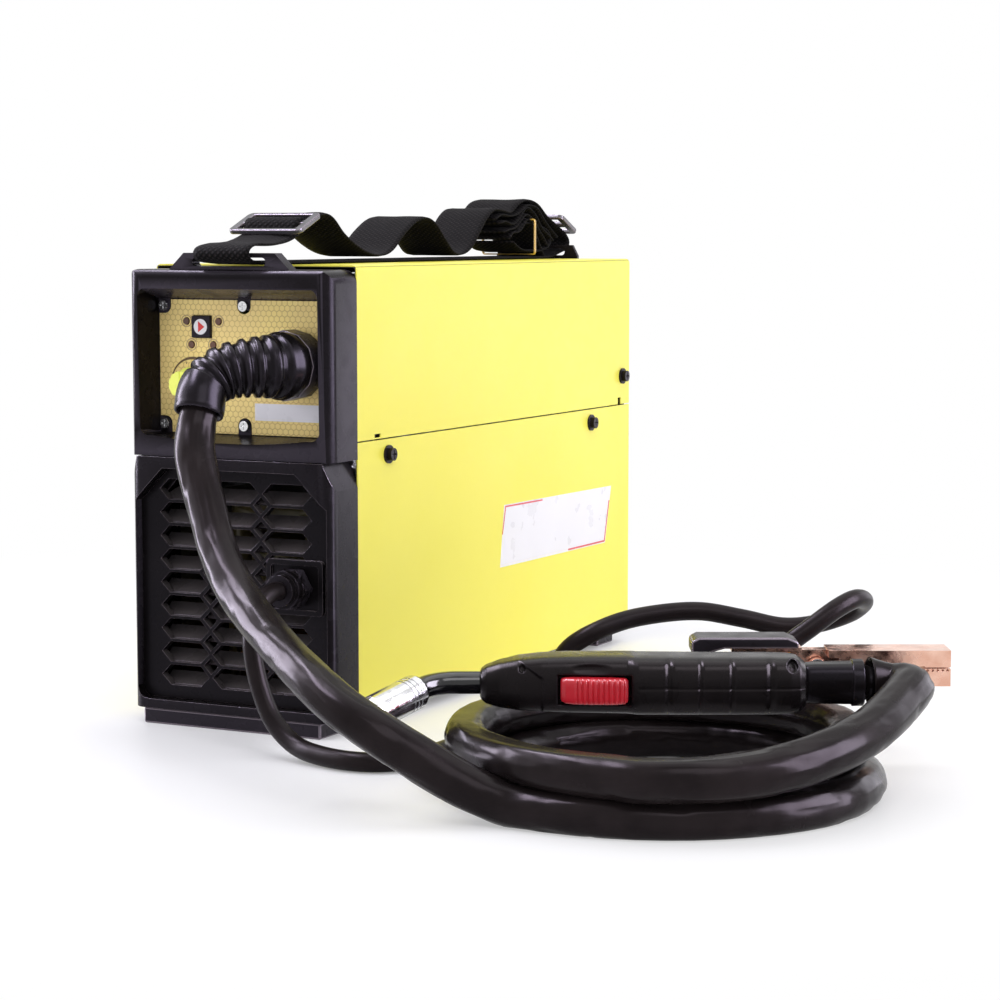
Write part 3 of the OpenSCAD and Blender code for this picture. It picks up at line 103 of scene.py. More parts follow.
def blend(t, b, fac, col, other):
    """The base colour: the socket col, turning into the colour other as fac rises."""
    x = add(t, "ShaderNodeMix", {0: fac, 7: rgba(other)}, data_type="RGBA")
    t.links.new(col, x.inputs[6])
    t.links.new(x.outputs[2], b.inputs["Base Color"])


def backdrop_rays(t):
    """1 for camera, glossy and transmission rays, which see the plain white backdrop."""
    lp = add(t, "ShaderNodeLightPath")
    seen = calc(t, "MAXIMUM", lp.outputs["Is Camera Ray"], lp.outputs["Is Glossy Ray"])
    return calc(t, "MAXIMUM", seen, lp.outputs["Is Transmission Ray"])


# ---------------------------------------------------------------- material helpers


def start(name, rough=0.4, metal=0.0, spec=0.5, sheen=0.0):
    """A new material: itself, its node tree, its shader and its object coordinates."""
    m = bpy.data.materials.new(name)
    m.use_nodes = True
    t = m.node_tree
    b = t.nodes["Principled BSDF"]
    b.inputs["Roughness"].default_value = rough
    b.inputs["Metallic"].default_value = metal
    b.inputs["Specular IOR Level"].default_value = spec
    b.inputs["Sheen Weight"].default_value = sheen
    co = add(t, "ShaderNodeTexCoord").outputs["Object"]
    return m, t, b, co


def vary(t, b, co, a, c, scale=25.0):
    """Base colour in soft patches between a and c."""
    col = two_tone(t, grain(t, co, scale, 4.0), a, c, 0.35, 0.65)
    t.links.new(col, b.inputs["Base Color"])
    return col


def rough_map(t, b, co, lo, hi, scale=60.0):
    t.links.new(ranged(t, grain(t, co, scale, 3.0), 0.3, 0.7, lo, hi), b.inputs["Roughness"])


def bump(t, b, height, strength=0.3, dist=0.0003, after=None):
    links = {"Height": height, "Strength": strength, "Distance": dist}
    if after is not None:
        links["Normal"] = after
    n = add(t, "ShaderNodeBump", links)
    t.links.new(n.outputs["Normal"], b.inputs["Normal"])
    return n.outputs["Normal"]


def plain(name, a, c, rough=0.4, metal=0.0, scale=30.0, fine=1500.0, strength=0.15, dist=0.0001):
    m, t, b, co = start(name, rough, metal)
    vary(t, b, co, a, c, scale)
    rough_map(t, b, co, max(rough - 0.05, 0.03), rough + 0.06)
    bump(t, b, grain(t, co, fine), strength, dist)
    return m


FINE = 0.00006  # bump height of a moulded surface, metres
COOL = (0.88, 0.8, 1.0)  # tint of the highlights on the black parts
WARM = (1.0, 0.9, 0.94)
# painted highlight on the sharp edges of the black parts
PAINTED_EDGE_HIGHLIGHT = (0.06, 0.052, 0.066)
# painted highlight on the upward faces of the grille
PAINTED_TOP_HIGHLIGHT = (0.075, 0.066, 0.066)


def black_plastic(name, level=0.0042, rough=0.25, fine=2600.0, strength=0.15, spec=0.095, tint=COOL):
    """Moulded black plastic, with a painted highlight where its surface turns sharply."""
    m, t, b, co = start(name, rough, spec=spec)
    b.inputs["Specular Tint"].default_value = rgba(tint)
    dark, pale = (0.95, 0.78, 0.8), (1.45, 1.15, 1.2)
    col = vary(t, b, co, [level * k for k in dark], [level * k for k in pale], 18)
    rough_map(t, b, co, rough - 0.05, rough + 0.08, 90)
    bump(t, b, grain(t, co, fine, 3), strength, FINE)
    point = add(t, "ShaderNodeNewGeometry").outputs["Pointiness"]
    blend(t, b, ranged(t, point, 0.52, 0.62, 0.0, 0.6), col, PAINTED_EDGE_HIGHLIGHT)
    return m


def top_highlit_black(name):
    """Case black whose upward faces are painted paler: a painted highlight from the light above."""
    m, t, b, co = start(name, 0.28, spec=0.095)
    b.inputs["Specular Tint"].default_value = rgba(COOL)
    col = vary(t, b, co, (0.004, 0.0034, 0.0036), (0.0066, 0.0056, 0.006), 18)
    sep = add(t, "ShaderNodeSeparateXYZ", {0: add(t, "ShaderNodeNewGeometry").outputs["Normal"]})
    # painted highlight: the upward faces turn paler
    blend(t, b, ranged(t, sep.outputs["Z"], 0.3, 0.8), col, PAINTED_TOP_HIGHLIGHT)
    rough_map(t, b, co, 0.24, 0.34, 90)
    bump(t, b, grain(t, co, 2600, 3), 0.15, FINE)
    return m


COVER_UNDER = 0.2710  # height of the cover's inner face


def yellow_coat(name, low_x=0.0681):
    """Yellow paint; the sheets' inner faces, nearer the middle than low_x and below the cover's inner face, are
    painted dark as painted shade inside the case.
    """
    fade = 0.0004
    m, t, b, co = start(name, 0.34, spec=0.2)
    col = vary(t, b, co, (0.955, 0.875, 0.10), (0.975, 0.895, 0.12), 9)
    sep = add(t, "ShaderNodeSeparateXYZ", {0: co})
    inside = ranged(t, calc(t, "ABSOLUTE", sep.outputs["X"]), low_x, low_x + fade, 1.0, 0.0)
    below = ranged(t, sep.outputs["Z"], COVER_UNDER, COVER_UNDER + fade, 1.0, 0.0)
    # painted shade: the inner faces inside the case go dark
    blend(t, b, calc(t, "MULTIPLY", inside, below), col, (0.05, 0.045, 0.03))
    rough_map(t, b, co, 0.31, 0.39, 140)
    bump(t, b, grain(t, co, 1100, 2), 0.12, 0.00012)
    return m


HEX_PITCH = 0.0036
ROOT3 = 1.7320508


def honeycomb():
    """Gold sheet with a fine raised hexagon pattern, drawn in the panel's own X and Z."""
    m, t, b, co = start("gold_honeycomb", 0.36, 0.15, spec=0.4)
    sep = add(t, "ShaderNodeSeparateXYZ", {0: co})

    def fold(axis, shift, period):
        """Distance to the middle of the period, with the sign left off."""
        at = calc(t, "FLOORED_MODULO", calc(t, "ADD", sep.outputs[axis], 1.0 + shift), period)
        return calc(t, "ABSOLUTE", calc(t, "SUBTRACT", at, period / 2))

    def cell(dx, dz):
        u, v = fold("X", dx, HEX_PITCH), fold("Z", dz, HEX_PITCH * ROOT3)
        slant = calc(t, "ADD", calc(t, "MULTIPLY", u, 0.5), calc(t, "MULTIPLY", v, ROOT3 / 2))
        return calc(t, "MAXIMUM", u, slant)

    d = calc(t, "MINIMUM", cell(0, 0), cell(HEX_PITCH / 2, HEX_PITCH * ROOT3 / 2))
    line = ranged(t, d, HEX_PITCH * 0.40, HEX_PITCH * 0.475)
    gold = two_tone(t, grain(t, co, 25, 3), (0.86, 0.66, 0.27), (0.98, 0.78, 0.28), 0.3, 0.7)
    blend(t, b, line, gold, (0.62, 0.45, 0.16))
    n = bump(t, b, grain(t, co, 3000, 2), 0.1, 0.00005)
    bump(t, b, calc(t, "SUBTRACT", 1.0, line), 0.35, 0.0002, n)
    return m


def webbing():
    """Black herringbone webbing; the UVs are metres across and along."""
    m, t, b, co = start("webbing_weave", 0.75, spec=0.04, sheen=0.015)
    uv = add(t, "ShaderNodeTexCoord").outputs["UV"]
    waves = []
    for ang in (0.9, -0.9):
        mp = add(t, "ShaderNodeMapping", {"Vector": uv, "Rotation": (0, 0, ang)})
        links = {"Vector": mp.outputs[0], "Scale": 130.0, "Distortion": 0.6, "Detail": 1.0, "Detail Scale": 4.0}
        waves.append(add(t, "ShaderNodeTexWave", links).outputs["Fac"])
    weave = calc(t, "MULTIPLY", *waves)
    col = two_tone(t, weave, (0.002, 0.002, 0.002), (0.015, 0.012, 0.012))
    t.links.new(col, b.inputs["Base Color"])
    bump(t, b, weave, 0.8, 0.0004)
    return m


def sleeve(name, level=0.0085, rough=0.23, long_scale=45.0, strength=0.22):
    """Glossy cable cover with long soft swells."""
    m, t, b, co = start(name, rough, spec=0.085)
    b.inputs["Specular Tint"].default_value = (1.0, 0.88, 0.96, 1)
    dark, pale = (0.95, 0.72, 0.72), (1.7, 1.3, 1.3)
    vary(t, b, co, [level * k for k in dark], [level * k for k in pale], 40)
    rough_map(t, b, co, rough - 0.03, rough + 0.05, 50)
    a = bump(t, b, grain(t, co, long_scale, 3), strength, 0.0016)
    bump(t, b, grain(t, co, 1400, 2), 0.08, FINE, a)
    return m


def brushed(name, a, c, rough=0.28, stretch=(1, 1, 14)):
    m, t, b, co = start(name, rough, 1.0)
    long_co = add(t, "ShaderNodeMapping", {"Vector": co, "Scale": stretch}).outputs[0]
    vary(t, b, long_co, a, c, 160)
    rough_map(t, b, long_co, rough - 0.08, rough + 0.1, 260)
    bump(t, b, grain(t, long_co, 900, 2), 0.08, 0.00005)
    return m


def copper():
    m, t, b, co = start("jaw_copper_plate", 0.26, 1.0)
    vary(t, b, co, (0.74, 0.42, 0.31), (0.90, 0.60, 0.48), 70)
    rough_map(t, b, co, 0.12, 0.34, 120)
    bump(t, b, grain(t, co, 500, 4), 0.25, 0.0002)
    return m


mats = {}
# the grille's black, with a painted highlight on its upward faces
grille_black = top_highlit_black("grille_black")
mats["yellow_sheet"] = yellow_coat("yellow_coat")
door_yellow = yellow_coat("door_yellow", -1.0)
mats["black_plastic"] = black_plastic("case_black")
mats["handle_black"] = black_plastic("handle_black", 0.0055, 0.27, 1800.0, 0.12, 0.14, WARM)
mats["black_steel"] = black_plastic("screw_black", 0.008, 0.28)
mats["gold_panel"] = honeycomb()
mats["webbing"] = webbing()
mats["torch_sleeve"] = sleeve("torch_sleeve_gloss")
mats["ground_sheath"] = sleeve("ground_sheath_satin", 0.009, 0.3, 120.0, 0.1)
mats["boot_rubber"] = black_plastic("boot_rubber", 0.004, 0.24, 2000.0, 0.1, 0.12)
mats["zinc_sheet"] = brushed("zinc", (0.42, 0.43, 0.44), (0.6, 0.61, 0.62), 0.32)
mats["screw_steel"] = brushed("bright_steel", (0.6, 0.6, 0.62), (0.78, 0.78, 0.8), 0.18)
mats["roller_steel"] = brushed("ground_steel", (0.45, 0.45, 0.46), (0.65, 0.65, 0.66), 0.25)
mats["nozzle_steel"] = brushed("nozzle_plate", (0.62, 0.62, 0.63), (0.8, 0.8, 0.82), 0.14, (1, 1, 1))
mats["jaw_copper"] = copper()
mats["brass"] = brushed("brass_turned", (0.6, 0.42, 0.16), (0.78, 0.58, 0.28), 0.25)
mats["circuit_board"] = plain("board_green", (0.01, 0.09, 0.035), (0.02, 0.14, 0.06), 0.4, fine=700)
mats["button_black"] = black_plastic("button_black", 0.007, 0.25)
mats["lamp_red"] = plain("lamp_lens", (0.11, 0.05, 0.03), (0.15, 0.065, 0.04), 0.2, fine=500)
mats["knob_yellow"] = plain("knob_lime", (0.80, 0.88, 0.12), (0.88, 0.94, 0.18), 0.35, fine=1500)
mats["motor_grey"] = plain("motor_grey", (0.12, 0.12, 0.13), (0.2, 0.2, 0.21), 0.45, 0.6)
mats["red_plastic"] = plain("trigger_red", (0.52, 0.010, 0.022), (0.62, 0.016, 0.03), 0.3, fine=900)
mats["spool_plastic"] = plain("spool_white", (0.62, 0.62, 0.6), (0.7, 0.7, 0.68), 0.4)
mats["copper_wire"] = brushed("wire_copper", (0.6, 0.3, 0.14), (0.78, 0.44, 0.24), 0.3, (60, 1, 1))
# the core's own lacquer, darkened further as painted shade inside the case
mats["core_brown"] = plain("core_lacquer", (0.07, 0.055, 0.02), (0.11, 0.09, 0.03), 0.35)
mats["winding_copper"] = brushed("winding", (0.4, 0.16, 0.06), (0.6, 0.28, 0.12), 0.3, (1, 1, 30))
mats["neck_black"] = plain("neck_gloss", (0.004, 0.004, 0.005), (0.007, 0.006, 0.008), 0.12,
                           fine=700, strength=0.08)
mats["grip_vinyl"] = black_plastic("grip_vinyl", 0.006, 0.3, 1200.0, 0.25)
mats["slider_grey"] = plain("slider_grey", (0.028, 0.028, 0.031), (0.05, 0.05, 0.055), 0.32, fine=1800)
mats["band_amber"] = plain("band_amber", (0.62, 0.38, 0.06), (0.75, 0.5, 0.1), 0.35, fine=900)
# the bevel faces of the EDGE_LIT nodes: a much paler black, a painted highlight along the edges
edge_lit = black_plastic("edge_polished", 0.12, 0.22, 1500.0, 0.05, 1.0)
label_white = plain("label_white", (0.86, 0.85, 0.88), (0.88, 0.87, 0.90), 0.3, fine=900, strength=0.05)
print_dark = plain("print_dark", (0.10, 0.06, 0.02), (0.16, 0.10, 0.04), 0.45)
print_red = plain("print_red", (0.62, 0.03, 0.03), (0.7, 0.05, 0.04), 0.35)
disc_white = plain("disc_white", (0.8, 0.79, 0.8), (0.88, 0.87, 0.88), 0.3)
ring_grey = plain("ring_grey", (0.42, 0.30, 0.14), (0.5, 0.37, 0.2), 0.4)

# ---------------------------------------------------------------- mesh helpers


def V(*c):
    """A point given in millimetres."""
    return Vector(c) * MM


def mesh_object(name, verts, faces, mat, body, smooth=True, uvs=None):
    me = bpy.data.meshes.new(name)
    me.from_pydata([tuple(v) for v in verts], [], faces)
    me.update()
    if uvs is not None:
        layer = me.uv_layers.new(name="UVMap")
        for poly in me.polygons:
            for li in poly.loop_indices:
                layer.data[li].uv = uvs[me.loops[li].vertex_index]
    for p in me.polygons:
        p.use_smooth = smooth
    o = bpy.data.objects.new(name, me)
    scene.collection.objects.link(o)
    me.materials.append(mat)
    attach(o, body)
    return o


def tube_faces(rows, ring, caps=True):
    """Quads between rows of points, each row closed on itself, and the two ends."""
    faces = []
    for i in range(rows - 1):
        for k in range(ring):
            k2 = (k + 1) % ring
            faces.append((i * ring + k, i * ring + k2, (i + 1) * ring + k2, (i + 1) * ring + k))
    if caps:
        faces.append(tuple(range(ring))[::-1])
        faces.append(tuple((rows - 1) * ring + k for k in range(ring)))
    return faces


def cubic(a, b, c, d, t):
    """Catmull-Rom between b and c."""
    return ((2 * b) + (c - a) * t + (2 * a - 5 * b + 4 * c - d) * t * t + (3 * b - a - 3 * c + d) * t ** 3) / 2


def spline(p, n):
    """A smooth line through the points, n steps between each two."""
    res = []
    for i in range(len(p) - 1):
        for k in range(n):
            res.append(cubic(p[max(i - 1, 0)], p[i], p[i + 1], p[min(i + 2, len(p) - 1)], k / n))
    return res + [p[-1]]


def resample(p, step):
    out = [p[0].copy()]
    left = step
    for a, b in zip(p, p[1:]):
        seg = (b - a).length
        at = 0.0
        while seg - at >= left:
            at += left
            out.append(a.lerp(b, at / seg))
            left = step
        left -= seg - at
    if (out[-1] - p[-1]).length > step * 0.3:
        out.append(p[-1].copy())
    else:
        out[-1] = p[-1].copy()
    return out


def ramp(x, a, b):
    """0 below a, 1 above b, smooth between."""
    t = min(1.0, max(0.0, (x - a) / (b - a)))
    return t * t * (3 - 2 * t)


def tangent(p, i):
    return (p[min(i + 1, len(p) - 1)] - p[max(i - 1, 0)]).normalized()


def frames(p):
    """Side directions carried along the path without twist."""
    up = Vector((0, 0, 1))
    res = []
    s = None
    for i in range(len(p)):
        t = tangent(p, i)
        if s is None:
            s = Vector((1, 0, 0)) if abs(t.dot(up)) > 0.8 else up
        s = (s - s.dot(t) * t).normalized()
        res.append((t, s, t.cross(s)))
    return res


def sweep(name, p, radius, sides, mat, caps=True):
    """A tube along p; radius(i, n, angle, outward) in metres."""
    verts = []
    for i, (t, s, b) in enumerate(frames(p)):
        for k in range(sides):
            a = 2 * math.pi * k / sides
            d = math.cos(a) * s + math.sin(a) * b
            verts.append(p[i] + d * radius(i, len(p), a, d))
    return mesh_object(name, verts, tube_faces(len(p), sides, caps), mat, "case")


# ---------------------------------------------------------------- cords
# E runs along the torch to its rear and TC from it to the camera's side; the clamp lies in the same axes.
YAW = math.radians(27)
E = Vector((math.cos(YAW), math.sin(YAW), 0))
TC = Vector((math.sin(YAW), -math.cos(YAW), 0))
torch_at = V(198.9, -273.5, 55)
clamp_at = V(341, -151.7, 57)
lead_dir = Vector((0.06, -0.42, -0.905))
boot_mouth = V(12, -255, 190)
torch_mouth = torch_at + E * 0.208
lug_face = clamp_at - E * 0.014 - TC * 0.029
CORD_STEP = 0.003
TORCH_DIAMETER, GROUND_DIAMETER = 0.019, 0.011
# heights of the middle line of each coil's lower and upper turns, mm: Z for the torch, G for the ground
Z1, Z2, G1, G2 = 9.6, 29.6, 5.6, 17.4

lead_pts = [boot_mouth + lead_dir * d for d in (-0.010, -0.004, 0.0, 0.009)] + [V(*c) for c in (
    (17, -267, 168), (30, -277, 144), (50, -293, 116), (80, -314, 93), (120, -342, 76), (150, -362, 65),
    (172, -371, 55), (190, -372, 46), (206, -368, 36), (222, -362, 26), (238, -356, 17), (252, -352, 11.5),
    (263, -351, Z1 + 0.1), (274, -351, Z1))]
tail_pts = [V(*c) for c in (
    (312, -351, Z2), (325, -351, Z2), (345, -344, 30.2), (367, -331, 31.4), (386.5, -307, 34.4),
    (400, -279, 39), (405.5, -250, 43), (406.4, -226, 46.6), (406.3, -208, 49.8), (406.1, -195, 52.4),
    (405.57, -186.1, 54.1), (404.1, -180.6, 54.7), (400.2, -176.7, 55), (394.95, -175.15, 55))]
tail_pts += [torch_mouth + E * 0.006, torch_mouth + E * 0.003, torch_mouth]
ground_lead_pts = [V(*c) for c in (
    (42, -220, 87), (42, -229, 87), (42, -240, 82), (43, -250, 70), (46, -254, 54), (52, -256, 36),
    (62, -259, 20), (78, -263, 9), (98, -270, G1 + 0.5), (122, -274, G1 + 0.1), (140, -266, G1),
    (149, -246, G1), (151, -218, G1), (152, -190, G1), (155, -162, G1), (165, -136, G1), (184, -120, G1),
    (204, -116, G1), (217, -116, G1))]
ground_tail_pts = [V(*c) for c in (
    (172, -71, G2), (172, -80, G2), (168, -96, 25), (168, -110, 36), (177, -119, 49), (193, -114, 60),
    (211, -97, 67), (239, -77, 70), (264, -66, 66), (285, -55, 61), (304, -49, 63), (325, -51, 71),
    (338, -63, 80), (339, -81, 84), (333, -95, 80), (322, -107, 70), (312.5, -115.5, 61.5))]
ground_tail_pts += [lug_face - TC * 0.009, lug_face - TC * 0.004, lug_face]


def coil(at, r, pitch, turns, z0, step, a0, per_turn=48):
    """A flat spiral in mm whose middle half turn climbs by step."""
    res = []
    total = int(round(turns * per_turn))
    half = turns / 2
    for i in range(total + 1):
        w = turns * i / total
        rad = r - pitch * (half - abs(w - half))
        a = math.radians(a0 + 360 * w)
        z = z0 + step * ramp(w, half - 0.25, half + 0.25)
        res.append(V(at[0] + rad * math.cos(a), at[1] + rad * math.sin(a), z))
    return res


torch_path = resample(spline(lead_pts, 8)[:-1] + [V(283, -351, Z1)]
                      + coil((293, -243), 108, 21, 2, Z1, 20, -90) + [V(303, -351, Z2)]
                      + spline(tail_pts, 8), CORD_STEP)
ground_path = resample(spline(ground_lead_pts, 8)[:-1] + [V(223, -116, G1)]
                       + coil((228, -60), 56, 12, 2.75, G1, 11.8, -90) + [V(172, -65, G2)]
                       + spline(ground_tail_pts, 8), CORD_STEP)


def wave(*c):
    return noise.noise(Vector(c))


FLOOR_GAP = 0.0003
TURN_REACH = 0.0104  # highest rise of an upper turn over its middle line, so that the torch clears it


def sleeve_radius(i, n, a, d):
    """A loose sleeve over the cable: flattened, slowly twisting, with soft creases along it."""
    q = torch_path[i]
    u = i * CORD_STEP
    ease = min(1.0, (i + 2) / 10, (n - 1 - i) / 5)
    drop = min(1.0, max(0.0, (q.z - 0.05) / 0.05))
    low = 1 - drop
    tan = tangent(torch_path, i)
    side = tan.cross(Vector((0, 0, 1)))
    side = side.normalized() if side.length > 0.2 else Vector((1, 0, 0))
    if side.dot(E) < 0:
        side = -side
    wide = side.lerp(E, drop)
    wide = (wide - wide.dot(tan) * tan).normalized()
    ang = math.atan2(wide.cross(tan).dot(d), wide.dot(d)) + 0.9 * wave(u * 7.0, 3.1, 0.0)
    big = 0.0098 + (0.0016 + 0.0010 * low) * ease
    small = 0.0090 + (0.0026 * low - 0.0002) * ease
    r = big * small / math.hypot(small * math.cos(ang), big * math.sin(ang))
    c, s = math.cos(a), math.sin(a)
    soft = wave(u * 16.0, c * 0.9, s * 0.9)
    crease = wave(u * 34.0, c * 2.4 + 7, s * 2.4)
    fold = 1 - abs(wave(u * 22.0 + 5, c * 1.7, s * 1.7 + 2))
    r *= 1 + ease * (0.055 * soft + 0.028 * crease - 0.05 * max(0.0, fold - 0.86) / 0.14)
    if q.z + d.z * r < FLOOR_GAP:
        r = min(r, (q.z - FLOOR_GAP) / max(-d.z, 1e-4))
    if 0.027 < q.z < 0.033 and d.z > 0:
        r = min(r, TURN_REACH / max(d.z, 1e-4))
    return r


def ground_radius(i, n, a, d):
    return GROUND_DIAMETER / 2


torch_cord = sweep("torch_cable", torch_path, sleeve_radius, 40, mats["torch_sleeve"])
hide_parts("torch_lead", "torch_coil", "torch_tail")
ground_cord = sweep("ground_cable", ground_path, ground_radius, 20, mats["ground_sheath"])
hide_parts("ground_lead", "ground_coil", "ground_tail")

# ---------------------------------------------------------------- boot
boot_pts = [V(*c) for c in (
    (38, -207, 215), (37.5, -212, 215), (34, -219, 215), (27.5, -226, 214.6), (20.5, -232.5, 213.4),
    (14.5, -239, 210.4), (11, -246, 205), (11, -250.6, 199.6))] + [boot_mouth - lead_dir * 0.004, boot_mouth]
boot_path = resample(spline(boot_pts, 12), 0.0008)
BOOT_SIDES = 48
RIBS = 7
COLLAR, RIBS_END = 0.06, 0.74  # shares of the boot's length
RIB_CREST = 0.45  # share of a rib's pitch that its crest takes


def boot_radius(i, n, a, d):
    u = i / (n - 1)
    if u < COLLAR:
        return 0.0196
    if u < RIBS_END:
        ph = (u - COLLAR) / (RIBS_END - COLLAR) * RIBS % 1.0
        dip = 0.0021 if ph > RIB_CREST else 0.0
        edge = min(abs(ph - RIB_CREST), abs(ph - 1.0), ph) / 0.06
        return 0.0192 - 0.0046 * u / RIBS_END - dip * min(1.0, max(edge, 0.3))
    return 0.0142 if u < 0.985 else 0.0139


boot_obj = sweep("outlet_boot", boot_path, boot_radius, BOOT_SIDES, mats["boot_rubber"],
                 caps=False)
bm = bmesh.new()
bm.from_mesh(boot_obj.data)
bm.verts.ensure_lookup_table()
first = [bm.verts[k] for k in range(BOOT_SIDES)]
ring = [bm.verts[(len(boot_path) - 1) * BOOT_SIDES + k] for k in range(BOOT_SIDES)]
end_t, end_s, end_b = frames(boot_path)[-1]
for depth, rad in ((0.0, 0.0124), (0.004, 0.0120), (0.012, 0.0100)):  # the lip turned into the mouth
    new = []
    for k in range(BOOT_SIDES):
        a = 2 * math.pi * k / BOOT_SIDES
        d = math.cos(a) * end_s + math.sin(a) * end_b
        new.append(bm.verts.new(boot_path[-1] - end_t * depth + d * rad))
    for k in range(BOOT_SIDES):
        k2 = (k + 1) % BOOT_SIDES
        bm.faces.new((ring[k], ring[k2], new[k2], new[k]))
    ring = new
bm.faces.new(first[::-1])
bm.normal_update()
for f in bm.faces:
    f.smooth = True
bm.to_mesh(boot_obj.data)
bm.free()
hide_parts("torch_boot")

# ---------------------------------------------------------------- torch handle, trigger and rear boot


def table(rows, x):
    """Linear look-up: rows of (x, a, b, ...)."""
    for p, q in zip(rows, rows[1:]):
        if x <= q[0]:
            t = max(0.0, (x - p[0]) / (q[0] - p[0]))
            return [u + (w - u) * t for u, w in zip(p[1:], q[1:])]
    return list(rows[-1][1:])


def at_torch(x, y, z):
    """A point in the torch's own axes, in mm: x to its rear, y away from the camera's side."""
    return torch_at + (E * x - TC * y + Vector((0, 0, z))) * MM


def loft(name, xs, section, ring, mat, body="case", dent=None):
    """Rounded-box sections across the torch's own X; dent(x, y, z, near) moves points in, in mm."""
    verts = []
    for x in xs:
        y0, y1, z0, z1, power = section(x)
        yc, zc, hy, hz = (y0 + y1) / 2, (z0 + z1) / 2, (y1 - y0) / 2, (z1 - z0) / 2
        for k in range(ring):
            a = 2 * math.pi * k / ring
            c, sn = math.cos(a), math.sin(a)
            r = (abs(c / hy) ** power + abs(sn / hz) ** power) ** (-1 / power)
            y, z = yc + r * c, zc + r * sn
            if dent:
                near = ramp((yc - y) / hy, 0.45, 0.8)
                d, hole = dent(x, y, z, near)
                y += d * near + hole
                z -= 0.5 * hole * (1 if z > zc else -1)
            verts.append(at_torch(x, y, z))
    return mesh_object(name, verts, tube_faces(len(xs), ring), mat, body)


# x, near face, far face, underside, top, squareness
HANDLE = [
    (0.0, -7.5, 7.0, -7.0, 6.0, 2.6), (0.8, -9.4, 8.8, -8.6, 7.6, 2.8), (3.0, -11.4, 10.8, -10.4, 9.2, 3.2),
    (10.0, -13.2, 13.0, -12.2, 11.6, 3.8), (20.0, -14.8, 15.2, -13.6, 13.8, 4.2),
    (32.0, -15.6, 16.6, -14.2, 15.0, 4.4), (45.0, -16.2, 17.6, -14.6, 15.5, 4.4),
    (77.0, -17.4, 18.0, -15.0, 15.6, 4.4), (80.0, -19.4, 18.0, -15.1, 15.6, 4.4),
    (82.5, -20.6, 18.0, -15.2, 15.5, 4.2), (110.0, -20.5, 18.0, -15.4, 15.3, 4.0),
    (150.0, -20.0, 17.5, -15.4, 15.2, 4.0), (162.0, -19.4, 17.0, -15.2, 15.0, 4.0),
    (167.0, -18.0, 15.8, -14.2, 14.0, 3.8), (170.0, -15.4, 13.6, -12.2, 12.0, 3.2),
    (171.0, -12.4, 11.4, -10.4, 10.2, 2.8)]
# x, half width, depth
GROOVES = [(98.4, 1.7, 1.5), (114.9, 1.0, 1.2), (131.3, 1.0, 1.2), (151.5, 1.8, 1.5)]
# x, z, depth, inner and outer radius
SCREW_HOLES = [(163.0, 11.6, 4.0, 2.5, 3.1), (22.0, 9.6, 1.6, 1.5, 2.0)]


def handle_dent(x, y, z, near):
    """Lower nose step, thumb hollow, trigger slot, finger grooves, parting line and screw holes."""
    nose = 32.7 - max(0.0, z - 4.5) / 12.2 * 17.0
    d = 0.9 * (1 - ramp(x, nose - 0.5, nose + 0.3))
    d += 1.5 * max(0.0, 1 - ((x - 58.0) / 10.7) ** 2 - ((z - 9.6) / 2.8) ** 2)
    slot = ramp(x, 40.6, 41.2) * (1 - ramp(x, 78.6, 79.2)) * ramp(z, -9.2, -8.7) * (1 - ramp(z, 6.0, 6.5))
    d += 4.0 * slot
    for x0, w, depth in GROOVES:
        d += depth * math.exp(-((x - x0) / w) ** 2) * near
    d += 0.5 * math.exp(-((z + 0.2) / 0.3) ** 2) * ramp(x, 82, 84)
    hole = 0.0
    if y < 0:
        for x0, z0, depth, r0, r1 in SCREW_HOLES:
            hole += depth * (1 - ramp(math.hypot(x - x0, z - z0), r0, r1))
    return d, hole


HANDLE_XS = [0.0, 0.3, 0.8] + [1.4 + 0.6 * i for i in range(282)] + [170.6, 171.0]
handle = loft("torch_handle", HANDLE_XS, lambda x: table(HANDLE, x), 168, mats["handle_black"],
              dent=handle_dent)
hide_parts("torch_handle_upper", "torch_handle_lower")

TRIGGER = [
    (42.0, -17.0, -12.0, -6.0, 3.8, 3.0), (42.5, -18.6, -12.0, -7.0, 4.8, 4.0),
    (44.5, -20.4, -12.0, -7.8, 5.4, 5.0), (49.0, -22.6, -12.0, -8.0, 5.6, 6.0),
    (58.0, -23.8, -12.0, -8.1, 5.6, 6.0), (70.0, -23.6, -12.0, -8.2, 5.5, 6.0),
    (75.4, -22.2, -12.0, -8.0, 5.2, 5.0), (76.8, -20.6, -12.0, -7.4, 4.6, 4.0),
    (77.3, -18.6, -12.0, -6.6, 3.8, 3.0)]



def trigger_dent(x, y, z, near):
    """Upright ribs over the pad's middle."""
    rib = abs(((x - 50.4) / 2.75) % 1.0 - 0.5) * 2
    return 0.85 * ramp(rib, 0.45, 0.9) * ramp(x, 50.2, 50.6) * (1 - ramp(x, 75.0, 75.6)), 0.0


TRIGGER_XS = [42.0 + 0.2 * i for i in range(177)] + [77.3]
trigger = loft("torch_trigger_pad", TRIGGER_XS, lambda x: table(TRIGGER, x), 96, mats["red_plastic"],
               "trigger", trigger_dent)
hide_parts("torch_trigger")

# x, radius, squareness
REAR = [(170.2, 9.4, 3.0), (171.6, 10.3, 3.4), (176.0, 10.7, 3.6), (194.6, 11.0, 3.4), (195.4, 11.2, 3.0),
        (195.8, 12.3, 2.4), (201.2, 12.3, 2.2), (201.8, 11.6, 2.2), (202.2, 9.2, 2.0), (213.0, 8.8, 2.0)]
REAR_XS = [170.2, 170.8, 171.6, 173, 176, 182, 188, 194, 194.6, 195.0, 195.4, 195.6, 195.8, 196.2, 198, 200.8,
           201.2, 201.5, 201.8, 202.0, 202.2, 205, 209, 213]


def rear_section(x):
    r, power = table(REAR, x)
    return -r, r, -r, r, power


rear = loft("torch_rear_sleeve", REAR_XS, rear_section, 64, mats["boot_rubber"])
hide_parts("torch_rear_boot")

